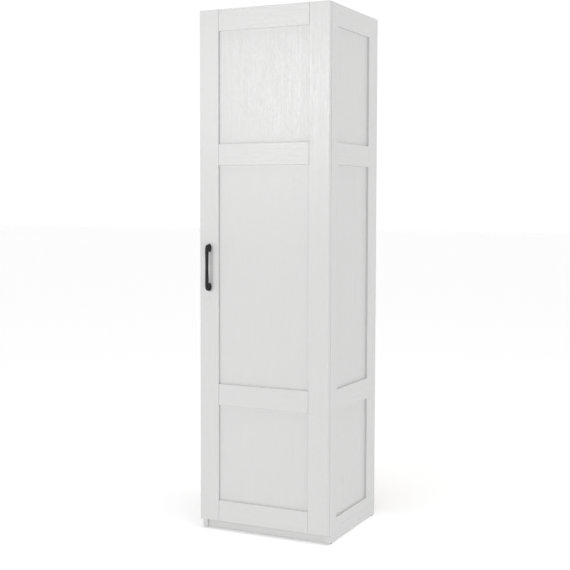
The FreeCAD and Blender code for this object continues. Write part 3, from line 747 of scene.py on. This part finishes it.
@dataclass
class BowHandle:
    """Cast bow handle: a flat bar that bends into two oval feet with a groove round each.

    The sections are true ovals at the feet and turn squarer towards the bar. Its length, projection and
    width come from its CAD node, and the rest is set here in millimetres.
    """

    foot_height: float = 29.5
    foot_edge: float = 3.0
    bar_width: float = 11.5
    bar_thickness: float = 7.5
    end_width: float = 13.6
    bend: float = 15.0
    fullness: float = 0.7
    inner_radius: float = 8.0
    foot_fullness: float = 1.0
    groove_depth: float = 2.0
    groove_place: float = 0.25
    groove_reach: float = 0.2
    rim_round: float = 0.5
    columns: int = 48
    bend_rows: int = 30
    bar_rows: int = 16

    def half(self, projection: float, length: float, width: float) -> tuple[np.ndarray, ...]:
        """Works out the sections of one half, from its foot to the middle of the bar.

        The outside of the bend is a quarter of a full oval, whose sine and cosine are raised to the power
        of its fullness. The inside is straight, then a quarter of a circle. The groove is a smooth dip near
        the foot, and the bar's width falls as a sine to its middle.

        Args:
            projection: Height of the handle over the door, in millimetres.
            length: Length of the handle, in millimetres.
            width: Width of a foot, in millimetres.

        Returns:
            Outer points, inner points, half widths and insets, one row for each section.
        """
        bar_back = projection - self.bar_thickness
        share = np.linspace(0, 1, self.bend_rows)
        turn = share * math.pi / 2
        outer = np.stack([
            self.bend * (1 - np.cos(turn).clip(0) ** self.fullness),
            self.foot_edge + (projection - self.foot_edge) * np.sin(turn) ** self.fullness], axis=1)
        straight = bar_back - self.inner_radius - self.foot_edge
        travel = share * (straight + self.inner_radius * math.pi / 2)
        swing = np.maximum(travel - straight, 0) / self.inner_radius
        inner = np.stack([
            self.foot_height + self.inner_radius * (1 - np.cos(swing)),
            self.foot_edge + np.minimum(travel, straight) + self.inner_radius * np.sin(swing)], axis=1)
        half_wide = width / 2 + (self.end_width - width) / 2 * share
        dip = np.clip(1 - np.abs(share - self.groove_place) / self.groove_reach, 0, 1)
        inset = self.groove_depth * dip ** 2 * (3 - 2 * dip)
        along = np.linspace(self.foot_height + self.inner_radius * 1.5, length / 2, self.bar_rows)
        run = (along - along[0]) / (along[-1] - along[0])
        bar_outer = np.stack([along, np.full_like(along, projection)], axis=1)
        bar_inner = np.stack([along, np.full_like(along, bar_back)], axis=1)
        bar_wide = self.end_width / 2 + (self.bar_width - self.end_width) / 2 * np.sin(run * math.pi / 2)
        foot_rise = np.array([0, self.rim_round, self.foot_edge * 0.6])
        foot_outer = np.stack([np.zeros(3), foot_rise], axis=1)
        foot_inner = np.stack([np.full(3, self.foot_height), foot_rise], axis=1)
        foot_inset = np.array([self.rim_round * 0.6, 0, 0])
        return (
            np.concatenate([foot_outer, outer, bar_outer]),
            np.concatenate([foot_inner, inner, bar_inner]),
            np.concatenate([np.full(3, width / 2), half_wide, bar_wide]),
            np.concatenate([foot_inset, inset, np.zeros(len(along))]),
        )

    def build(self) -> None:
        """Carries an oval through the sections of the upper half, then back down the lower half.

        A section's point is its middle plus its half depth times a sine and its half width times a cosine,
        both raised to a power. The power is one at the feet and falls to the bar's as the width narrows.
        """
        low, high = (np.array(corner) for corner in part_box("door_handle"))
        size = (high - low) / MM
        outer, inner, half_wide, inset = self.half(size[1], size[2], size[0])
        outer = np.concatenate([outer, outer[-2::-1]])
        inner = np.concatenate([inner, inner[-2::-1]])
        half_wide = np.concatenate([half_wide, half_wide[-2::-1]])
        inset = np.concatenate([inset, inset[-2::-1]])
        mirrored = np.arange(len(outer)) >= (len(outer) + 1) // 2
        outer[mirrored, 0] = size[2] - outer[mirrored, 0]
        inner[mirrored, 0] = size[2] - inner[mirrored, 0]
        middle, reach = (outer + inner) / 2, (outer - inner) / 2
        reach = reach * (1 - inset / np.linalg.norm(reach, axis=1))[:, None]
        turn = np.linspace(0, 2 * math.pi, self.columns, endpoint=False)
        squared = np.clip((half_wide - half_wide.max()) / (half_wide.min() - half_wide.max()), 0, 1)
        power = (self.foot_fullness + (self.fullness - self.foot_fullness) * squared)[:, None]
        sine, cosine = (np.sign(wave) * np.abs(wave) ** power for wave in (np.sin(turn), np.cos(turn)))
        flat = middle[:, None] + reach[:, None] * sine[..., None]
        across = (half_wide - inset)[:, None] * cosine
        centre = (low[0] + high[0]) / 2
        rings = np.stack(
            [centre + across * MM, high[1] - flat[..., 1] * MM, high[2] - flat[..., 0] * MM], axis=-1)
        piece = Piece("bow_handle")
        piece.add_rings(rings)
        piece.finish("door_handle", PaintedCasting().material(), sharp=50.0)


# ---------------------------------------------------------------- screws, pins and cams


@dataclass
class ScrewSet:
    """Screws of one kind, turned about their own axis with a cross recess pressed in the head.

    head is the unit vector from the stem to the head. Sizes are in millimetres.
    """

    name: str
    node: str
    head: tuple[float, float, float]
    countersunk: bool
    stem_radius: float
    head_height: float
    proud: float = 0.2
    dome: float = 0.25
    edge: tuple[float, float] = (0.15, 0.35)
    tip_share: float = 0.35
    face_share: float = 0.94
    reach_share: float = 0.62
    width_share: float = 0.26
    depth_share: float = 0.42
    columns: int = 40

    def rings(self, solid: np.ndarray) -> np.ndarray:
        """Works out one screw's rings.

        Args:
            solid: Lowest and highest corners of the CAD screw.

        Returns:
            Rings from the middle of the head's face to the tip.
        """
        into = -np.array(self.head)
        middle = solid.mean(axis=0)
        size = solid[1] - solid[0]
        length = size @ np.abs(into)
        radius = (size.sum() - length) / 4
        top = middle - into * (length / 2 + self.proud * MM)
        face = crossed_face(
            radius * self.face_share, radius * self.reach_share, radius * self.width_share,
            radius * self.depth_share, self.columns)
        face[:, 1] += self.dome * MM * (face[:, 0] / radius) ** 2
        rim = self.dome * MM
        head = self.head_height * MM
        stem = self.stem_radius * MM
        tip = length + self.proud * MM
        edge = [(radius, rim + along * MM) for along in self.edge]
        below = [(stem, head)] if self.countersunk else [(radius, head), (stem, head)]
        point = [(stem, tip - stem), (stem * self.tip_share, tip)]
        rest = plain_profile(edge + below + point, self.columns)
        return turned(np.concatenate([face, rest]), top, into, self.columns)

    def build(self, material: Material) -> None:
        """Makes every screw of the set as one piece.

        Args:
            material: Its finish.
        """
        piece = Piece(self.name)
        for solid in solids_of(self.node):
            piece.add_rings(self.rings(solid))
        piece.finish(self.node, material)


@dataclass
class RoundPins:
    """Plain or fluted round pins with chamfered ends, along the longest side of their CAD solids."""

    name: str
    node: str
    flutes: int = 0
    flute_depth: float = 0.25
    chamfer: float = 0.5
    columns: int = 24

    def build(self, material: Material) -> None:
        """Makes every pin as one piece.

        The radius of a fluted pin dips by a cosine as many times a turn as it has flutes.

        Args:
            material: Its finish.
        """
        piece = Piece(self.name)
        turn = np.linspace(0, 2 * math.pi, self.columns, endpoint=False)
        for low, high in solids_of(self.node):
            size = high - low
            lengthwise = int(np.argmax(size))
            axis = np.eye(3)[lengthwise]
            radius = np.delete(size, lengthwise).max() / 2
            base = (low + high) / 2 - axis * size[lengthwise] / 2
            length, cut = size[lengthwise], self.chamfer * MM
            dip = self.flute_depth * MM * (1 - np.cos(self.flutes * turn)) / 2
            end = np.full_like(dip, radius - cut)
            radii = np.stack([end, radius - dip, radius - dip, end])
            along = np.repeat(np.array([0, cut, length - cut, length])[:, None], self.columns, axis=1)
            piece.add_rings(turned(np.stack([radii, along], axis=1), base, axis, self.columns))
        piece.finish(self.node, material)


@dataclass
class CamFittings:
    """Connecting bolts and the cams that draw them in. Sizes are in millimetres.

    head_shape has shares of the head's radius and their distances from its end.
    """

    columns: int = 40
    stem_share: float = 0.72
    neck_share: float = 0.8
    neck_end: float = 4.0
    head_shape: tuple[tuple[float, float], ...] = ((0.75, 3.6), (1.0, 2.8), (1.0, 0.8), (0.6, 0.0))
    tip_share: float = 0.4
    thread_start: float = 0.5
    thread_length: float = 10.0
    thread_pitch: float = 1.6
    thread_depth: float = 0.35
    collar: tuple[float, float] = (11.4, 12.6)
    face_share: float = 0.9
    reach_share: float = 0.6
    width_share: float = 0.2
    recess_depth: float = 2.2
    rim: float = 0.5
    proud: float = 0.15

    def bolt(self, solid: np.ndarray) -> np.ndarray:
        """Works out one bolt: its thread as rings, in the wall, then a collar, a thin neck and its head.

        Args:
            solid: Lowest and highest corners of the CAD bolt.

        Returns:
            Rings from the threaded tip to the head.
        """
        middle = solid.mean(axis=0)
        size = solid[1] - solid[0]
        inwards = -RIGHT if middle[0] > 0 else RIGHT
        base = middle - inwards * size[0] / 2
        head = size[1:].max() / 2
        stem = head * self.stem_share
        waist = stem * self.neck_share
        threaded = np.arange(0, self.thread_length, self.thread_pitch / 2)
        ridge = stem - self.thread_depth * MM * (np.arange(len(threaded)) % 2)
        near, far = self.collar
        rows = [(stem * self.tip_share, 0.0)]
        rows += [(radius, (self.thread_start + at) * MM) for radius, at in zip(ridge, threaded)]
        rows += [(head, near * MM), (head, far * MM), (waist, (far + 0.2) * MM)]
        rows += [(waist, size[0] - self.neck_end * MM)]
        rows += [(head * share, size[0] - before * MM) for share, before in self.head_shape]
        return turned(plain_profile(rows, self.columns // 2), base, inwards, self.columns // 2)

    def cam(self, solid: np.ndarray) -> np.ndarray:
        """Works out one cam, with a cross recess in the face that shows under its board.

        Args:
            solid: Lowest and highest corners of the CAD cam.

        Returns:
            Rings from the middle of the shown face to the hidden end.
        """
        low, high = solid
        radius = (high - low)[:2].max() / 2
        base = np.array([(low[0] + high[0]) / 2, (low[1] + high[1]) / 2, low[2] - self.proud * MM])
        face = crossed_face(
            radius * self.face_share, radius * self.reach_share, radius * self.width_share,
            self.recess_depth * MM, self.columns)
        tall = high[2] - low[2] + self.proud * MM
        rim = self.rim * MM
        rest = [(radius - rim * 0.4, 0.0), (radius, rim), (radius, tall - rim), (radius - rim, tall)]
        return turned(
            np.concatenate([face, plain_profile(rest, self.columns)]), base, UP, self.columns)

    def build(self, bolt_metal: Material, cam_metal: Material) -> None:
        """Makes the bolts and the cams, one piece of each.

        Args:
            bolt_metal: Finish of the bolts.
            cam_metal: Finish of the cams.
        """
        bolts = Piece("connecting_bolts")
        for solid in solids_of("cam_bolts"):
            bolts.add_rings(self.bolt(solid))
        bolts.finish("cam_bolts", bolt_metal)
        cams = Piece("round_cams")
        for solid in solids_of("cam_locks"):
            cams.add_rings(self.cam(solid))
        cams.finish("cam_locks", cam_metal)


# ---------------------------------------------------------------- concealed hinges


@dataclass
class ConcealedHinges:
    """Cups, links, arms and plates of the three hinges. Sizes are in millimetres."""

    cup_radius: float = 17.45
    cup_depth: float = 12.0
    wall: float = 0.9
    floor_round: float = 2.5
    floor_middle: float = 0.3
    lip_round: float = 0.5
    flange: float = 1.2
    half_length: float = 31.0
    tail: float = 15.6
    corner: float = 24.7
    corner_lean: tuple[float, float] = (0.657, 0.754)
    corner_power: float = 16.0
    link_gap: float = 6.6
    gap_fade: float = 1.2
    link_side: float = 16.3
    thinnest_wall: float = 0.2
    gap_lip: float = 0.15
    edge_round: float = 0.3
    bore_radius: float = 17.5
    columns: int = 120

    def outline(self, turn: np.ndarray) -> np.ndarray:
        """Radius of the flange's outline about the cup's middle.

        Each straight edge lies at its own distance. The radius is the inverse of a high power mean of
        how far each edge is neared, which rounds the corners. Towards the door's hinge edge it falls
        back to the cup, where the link passes.

        Args:
            turn: Angles from the direction of the hinge edge.

        Returns:
            Radii in millimetres.
        """
        edge, rise = np.cos(turn), np.sin(turn)
        lean, stand = self.corner_lean
        nearing = [
            edge / self.cup_radius, -edge / self.tail, rise / self.half_length, -rise / self.half_length,
            (edge * lean + rise * stand) / self.corner, (edge * lean - rise * stand) / self.corner,
        ]
        power = self.corner_power
        radius = sum(np.maximum(near, 0) ** power for near in nearing) ** (-1 / power)
        gap = np.clip((np.abs(radius * rise) - self.link_gap) / self.gap_fade, 0, 1)
        return np.where(edge > 0, self.cup_radius + (radius - self.cup_radius) * gap, radius)

    def cup(self, solid: np.ndarray) -> np.ndarray:
        """Works out one pressed cup: up the inside, over the flange, then down the outside.

        Where the link passes, the wall is pressed back to a flat and the rim is low, so that the link
        clears both with the door fully open. Steps of 0.1 mm and less keep neighbouring rings apart.

        Args:
            solid: Lowest and highest corners of the CAD cup.

        Returns:
            Rings from the middle of the inner floor to the middle of the outer floor.
        """
        low, high = solid
        turn = np.linspace(0, 2 * math.pi, self.columns, endpoint=False)
        flange = np.maximum(self.outline(turn), self.cup_radius + 0.02)
        ones = np.ones_like(turn)
        plain = self.cup_radius - self.wall
        passing = (np.cos(turn) > 0) & (np.abs(self.cup_radius * np.sin(turn)) < self.link_gap)
        pressed = np.clip(
            self.link_side / np.maximum(np.cos(turn), 0.5), plain, self.cup_radius - self.thinnest_wall)
        inner = np.where(passing, pressed, plain)
        top = np.where(passing, self.gap_lip, self.flange)
        bend = np.linspace(0, math.pi / 2, BEND_ROWS)
        rows = [(self.floor_middle * ones, (self.wall - self.cup_depth) * ones)]
        for angle in bend:
            rows.append((
                inner - self.floor_round + self.floor_round * math.sin(angle),
                (self.wall - self.cup_depth + self.floor_round * (1 - math.cos(angle))) * ones))
        for angle in bend:
            rows.append((
                inner + self.lip_round * (1 - math.cos(angle)),
                top - self.lip_round * (1 - math.sin(angle))))
        edge = self.edge_round
        lip = inner + self.lip_round
        rows.append((np.maximum(flange - edge, lip + 0.05), top))
        rows.append((np.maximum(flange, lip + 0.1), np.maximum(top - edge, 0.06)))
        rows.append((np.maximum(flange, lip + 0.1), 0.05 * ones))
        rows.append((self.cup_radius * ones, 0.02 * ones))
        for angle in bend[::-1]:
            rows.append((
                (self.cup_radius - self.floor_round + self.floor_round * math.sin(angle)) * ones,
                (-self.cup_depth + self.floor_round * (1 - math.cos(angle))) * ones))
        rows.append((self.floor_middle * ones, -self.cup_depth * ones))
        profile = np.array(rows) * MM
        base = np.array(
            [high[0] - self.bore_radius * MM, high[1] - self.flange * MM, (low[2] + high[2]) / 2])
        spokes = np.cos(turn)[:, None] * RIGHT + np.sin(turn)[:, None] * UP
        return base + profile[:, 0][..., None] * spokes + profile[:, 1][..., None] * BACK

    def build(self, nickel: Material, zinc: Material) -> None:
        """Makes every part of the hinges.

        Args:
            nickel: Finish of the pressed parts and pins.
            zinc: Finish of the screws.
        """
        cups = Piece("pressed_cups")
        for solid in solids_of("hinge_cups"):
            cups.add_rings(self.cup(solid))
        cups.finish("hinge_cups", nickel, sharp=40.0)
        softened_copy("hinge_link_bands", "hinge_links", nickel, 0.25)
        softened_copy("hinge_arm_channels", "hinge_arms", nickel, 0.3)
        softened_copy("mounting_plates", "hinge_plates", nickel, 0.3)
        RoundPins("cup_pivots", "hinge_cup_pins", chamfer=0.2).build(nickel)
        RoundPins("arm_pivots", "hinge_arm_pins", chamfer=0.2).build(nickel)
        for place, head in (("cup", (0, 1, 0)), ("plate", (-1, 0, 0))):
            ScrewSet(
                f"{place}_screws", f"hinge_{place}_screws", head, countersunk=True, stem_radius=1.5,
                head_height=2.9, dome=0.35).build(zinc)
        ScrewSet(
            "arm_clamp_screws", "hinge_arm_screws", (-1, 0, 0), countersunk=False, stem_radius=2.1,
            head_height=2.2).build(zinc)


# ---------------------------------------------------------------- small fittings


@dataclass
class SmallFittings:
    """Shelf supports, floor glides, door bumpers and the wall bracket. Sizes are in millimetres."""

    glide_height: float = 4.0
    glide_rim: float = 1.2
    glide_dish: float = 0.5
    dish_shares: tuple[float, float] = (0.35, 0.5)
    glide_edge: float = 0.3
    nail_radius: float = 1.2
    dot_middle: float = 0.05
    columns: int = 40

    def glides(self, material: Material) -> None:
        """Nail-on glides: a pad with a rounded rim, dished over half its radius, and its nail.

        Args:
            material: Their finish.
        """
        piece = Piece("nail_on_glides")
        for low, high in solids_of("floor_glides"):
            radius = (high - low)[:2].max() / 2
            base = np.array([(low[0] + high[0]) / 2, (low[1] + high[1]) / 2, low[2]])
            bend = np.linspace(0, math.pi / 2, BEND_ROWS)
            dish, rim, edge = self.glide_dish * MM, self.glide_rim * MM, self.glide_edge * MM
            flat, slope = (radius * share for share in self.dish_shares)
            rows = [(edge, dish), (flat, dish), (slope, 0.0)]
            rows += [(radius - rim * (1 - math.sin(angle)), rim * (1 - math.cos(angle))) for angle in bend]
            top = self.glide_height * MM
            nail = self.nail_radius * MM
            rows += [(radius, top - edge), (radius - edge, top), (nail, top)]
            tall = high[2] - low[2]
            rows += [(nail, tall - 2 * nail), (nail * 0.2, tall)]
            piece.add_rings(turned(plain_profile(rows, self.columns), base, UP, self.columns))
        piece.finish("floor_glides", material)

    def bumpers(self, material: Material) -> None:
        """Soft dots on the door's inner face: a low edge, then a quarter of an ellipse.

        Args:
            material: Their finish.
        """
        piece = Piece("soft_dots")
        for low, high in solids_of("door_bumpers"):
            radius = (high - low)[2] / 2
            tall = high[1] - low[1]
            base = np.array([(low[0] + high[0]) / 2, low[1], (low[2] + high[2]) / 2])
            bend = np.linspace(0, math.pi / 2, 8)
            rows = [(radius * 0.97, 0.0), (radius, tall * 0.15)]
            rows += [
                (radius * math.cos(angle) + self.dot_middle * MM, tall * (0.3 + 0.7 * math.sin(angle)))
                for angle in bend]
            piece.add_rings(turned(plain_profile(rows, self.columns), base, BACK, self.columns))
        piece.finish("door_bumpers", material, sharp=60.0)

    def build(self, zinc: Material) -> None:
        """Makes every small fitting.

        Args:
            zinc: Finish of the bracket and its screws.
        """
        white = MouldedPlastic("moulded_white_plastic", "#E6E6E3", (0.29, 0.40)).material()
        softened_copy("shelf_supports", "shelf_pins", white, 0.3)
        self.glides(MouldedPlastic("moulded_black_polyethylene", "#1B1B1C", (0.43, 0.54)).material())
        self.bumpers(MouldedPlastic("clear_soft_plastic", "#E9E9E6", (0.25, 0.36), 0.6).material())
        softened_copy("anti_tip_bracket", "wall_bracket", zinc, 0.35)
        ScrewSet(
            "bracket_screws", "wall_bracket_screws", (0, 0, -1), countersunk=True, stem_radius=1.5,
            head_height=2.9, dome=0.35).build(zinc)
        ScrewSet(
            "handle_screws_turned", "handle_screws", (0, 1, 0), countersunk=False, stem_radius=1.9,
            head_height=2.4, dome=0.7).build(zinc)


# ---------------------------------------------------------------- studio


class LampKind(Enum):
    """Kind of studio light."""

    AREA = "AREA"
    SUN = "SUN"


@dataclass(frozen=True)
class Lamp:
    """One studio light.

    Its energy is in watts, or in watts per square metre for a sun. Its spread is the side of an area
    light in metres, or a sun's angle in degrees.
    """

    name: str
    kind: LampKind
    place: tuple[float, float, float]
    aim: tuple[float, float, float]
    energy: float
    spread: float

    def hang(self) -> None:
        """Adds the light to the scene, turned to face its aim and hidden from the camera."""
        data = bpy.data.lights.new(self.name, self.kind.value)
        data.energy = self.energy
        if self.kind is LampKind.AREA:
            data.size = self.spread
        else:
            data.angle = math.radians(self.spread)
        light = bpy.data.objects.new(self.name, data)
        light.visible_camera = False
        turn = (Vector(self.aim) - Vector(self.place)).to_track_quat("-Z", "Y").to_matrix().to_4x4()
        light.matrix_world = Matrix.Translation(self.place) @ turn
        bpy.context.scene.collection.objects.link(light)


@dataclass
class Studio:
    """Pale floor, white surroundings, soft lights and the camera."""

    focal_pixels: float = 1109.2
    picture_pixels: float = 570.0
    middle_row: float = 268.0
    sensor: float = 36.0
    place: tuple[float, float, float] = (1.7332, -3.6436, 1.1785)
    yaw: float = 25.63
    pitch: float = 3.40
    roll: float = 0.139
    floor_size: float = 80.0
    zenith: float = 0.4
    horizon: float = 1.02
    dimming_span: tuple[float, float] = (0.19, 0.36)
    floor_colour: str = "#F8F8F8"
    floor_cloud: float = 333.0
    floor_roughness: tuple[float, float] = (0.75, 0.9)
    floor_gloss_level: float = 0.2
    floor_glow: float = 0.25
    lamps: tuple[Lamp, ...] = (
        Lamp("overhead", LampKind.SUN, (0.45, -0.6, 5.0), (0.0, 0.0, 0.0), 1.05, 26.0),
        Lamp("key", LampKind.AREA, (-1.5, -4.0, 1.96), (0.0, -0.2, 1.0), 33.5, 0.8),
        Lamp("side_fill", LampKind.AREA, (4.0, 0.5, 3.0), (0.25, 0.1, 1.6), 21.5, 1.8))

    def camera(self) -> None:
        """Stands the camera in front, to the right of the middle and a little above half height."""
        data = bpy.data.cameras.new("studio_camera")
        data.sensor_width = self.sensor
        data.lens = self.focal_pixels / self.picture_pixels * self.sensor
        data.shift_y = (self.middle_row - self.picture_pixels / 2) / self.picture_pixels
        yaw, pitch, roll = (math.radians(angle) for angle in (self.yaw, self.pitch, self.roll))
        level = Vector((math.cos(yaw), math.sin(yaw), 0))
        flat = math.cos(pitch)
        ahead = Vector((-math.sin(yaw) * flat, math.cos(yaw) * flat, -math.sin(pitch)))
        upright = level.cross(ahead)
        across = level * math.cos(roll) + upright * math.sin(roll)
        upwards = upright * math.cos(roll) - level * math.sin(roll)
        turn = Matrix((across, upwards, -ahead)).transposed().to_4x4()
        camera = bpy.data.objects.new("studio_camera", data)
        camera.matrix_world = Matrix.Translation(self.place) @ turn
        bpy.context.scene.collection.objects.link(camera)
        bpy.context.scene.camera = camera

    def floor(self) -> None:
        """Lays a wide pale floor with a faint glow, which softens the shadow below the cupboard."""
        half = self.floor_size / 2
        mesh = bpy.data.meshes.new("studio_floor")
        corners = [(-half, -half, 0), (half, -half, 0), (half, half, 0), (-half, half, 0)]
        mesh.from_pydata(corners, [], [(0, 1, 2, 3)])
        material, tree, place = new_material("matt_white_studio_floor")
        cloud = add_node(
            tree, "ShaderNodeTexNoise", {"Scale": 1 / (self.floor_cloud * MM), "Detail": 3.0},
            {"Vector": place})
        rough = add_node(
            tree, "ShaderNodeMapRange",
            {"To Min": self.floor_roughness[0], "To Max": self.floor_roughness[1]},
            {"Value": cloud.outputs[0]})
        end_material(
            tree,
            {"Base Color": linear(self.floor_colour), "Specular IOR Level": self.floor_gloss_level,
             "Emission Color": linear("#FFFFFF"), "Emission Strength": self.floor_glow},
            {"Roughness": rough.outputs[0]})
        mesh.materials.append(material)
        floor = bpy.data.objects.new("studio_floor", mesh)
        bpy.context.scene.collection.objects.link(floor)

    def world(self) -> None:
        """Surrounds the scene with white that is dimmer overhead."""
        world = bpy.data.worlds.new("white_surroundings")
        world.use_nodes = True
        tree = world.node_tree
        tree.nodes.clear()
        ray = add_node(tree, "ShaderNodeTexCoord", {}, {}).outputs["Generated"]
        height = add_node(tree, "ShaderNodeSeparateXYZ", {}, {0: ray}).outputs["Z"]
        strength = add_node(
            tree, "ShaderNodeMapRange",
            {"From Min": self.dimming_span[0], "From Max": self.dimming_span[1],
             "To Min": self.horizon, "To Max": self.zenith},
            {"Value": height})
        white = add_node(
            tree, "ShaderNodeBackground", {"Color": linear("#FFFFFF")}, {"Strength": strength.outputs[0]})
        add_node(tree, "ShaderNodeOutputWorld", {}, {"Surface": white.outputs[0]})
        bpy.context.scene.world = world

    def build(self) -> None:
        """Sets up the whole studio."""
        bpy.context.scene.view_settings.view_transform = "Standard"
        self.camera()
        self.floor()
        self.world()
        for lamp in self.lamps:
            lamp.hang()


def main() -> None:
    """Builds the studio, then the cupboard part by part."""
    logging.basicConfig(level=logging.INFO, format="%(name)s: %(message)s")
    Studio().build()
    FramedWalls().build()
    Boards().build()
    BowHandle().build()
    nickel = PlatedMetal("nickel_plated_steel", "#BDB9B0", (0.20, 0.38)).material()
    zinc = PlatedMetal("bright_zinc_plated_steel", "#C6C8CA", (0.24, 0.42)).material()
    cast = PlatedMetal("die_cast_zinc", "#9EA0A2", (0.38, 0.56)).material()
    ConcealedHinges().build(nickel, zinc)
    CamFittings().build(zinc, cast)
    RoundPins("fluted_dowels", "dowels", flutes=16, chamfer=1.0, columns=64).build(TurnedBeech().material())
    SmallFittings().build(zinc)


if __name__ == "__main__":
    main()
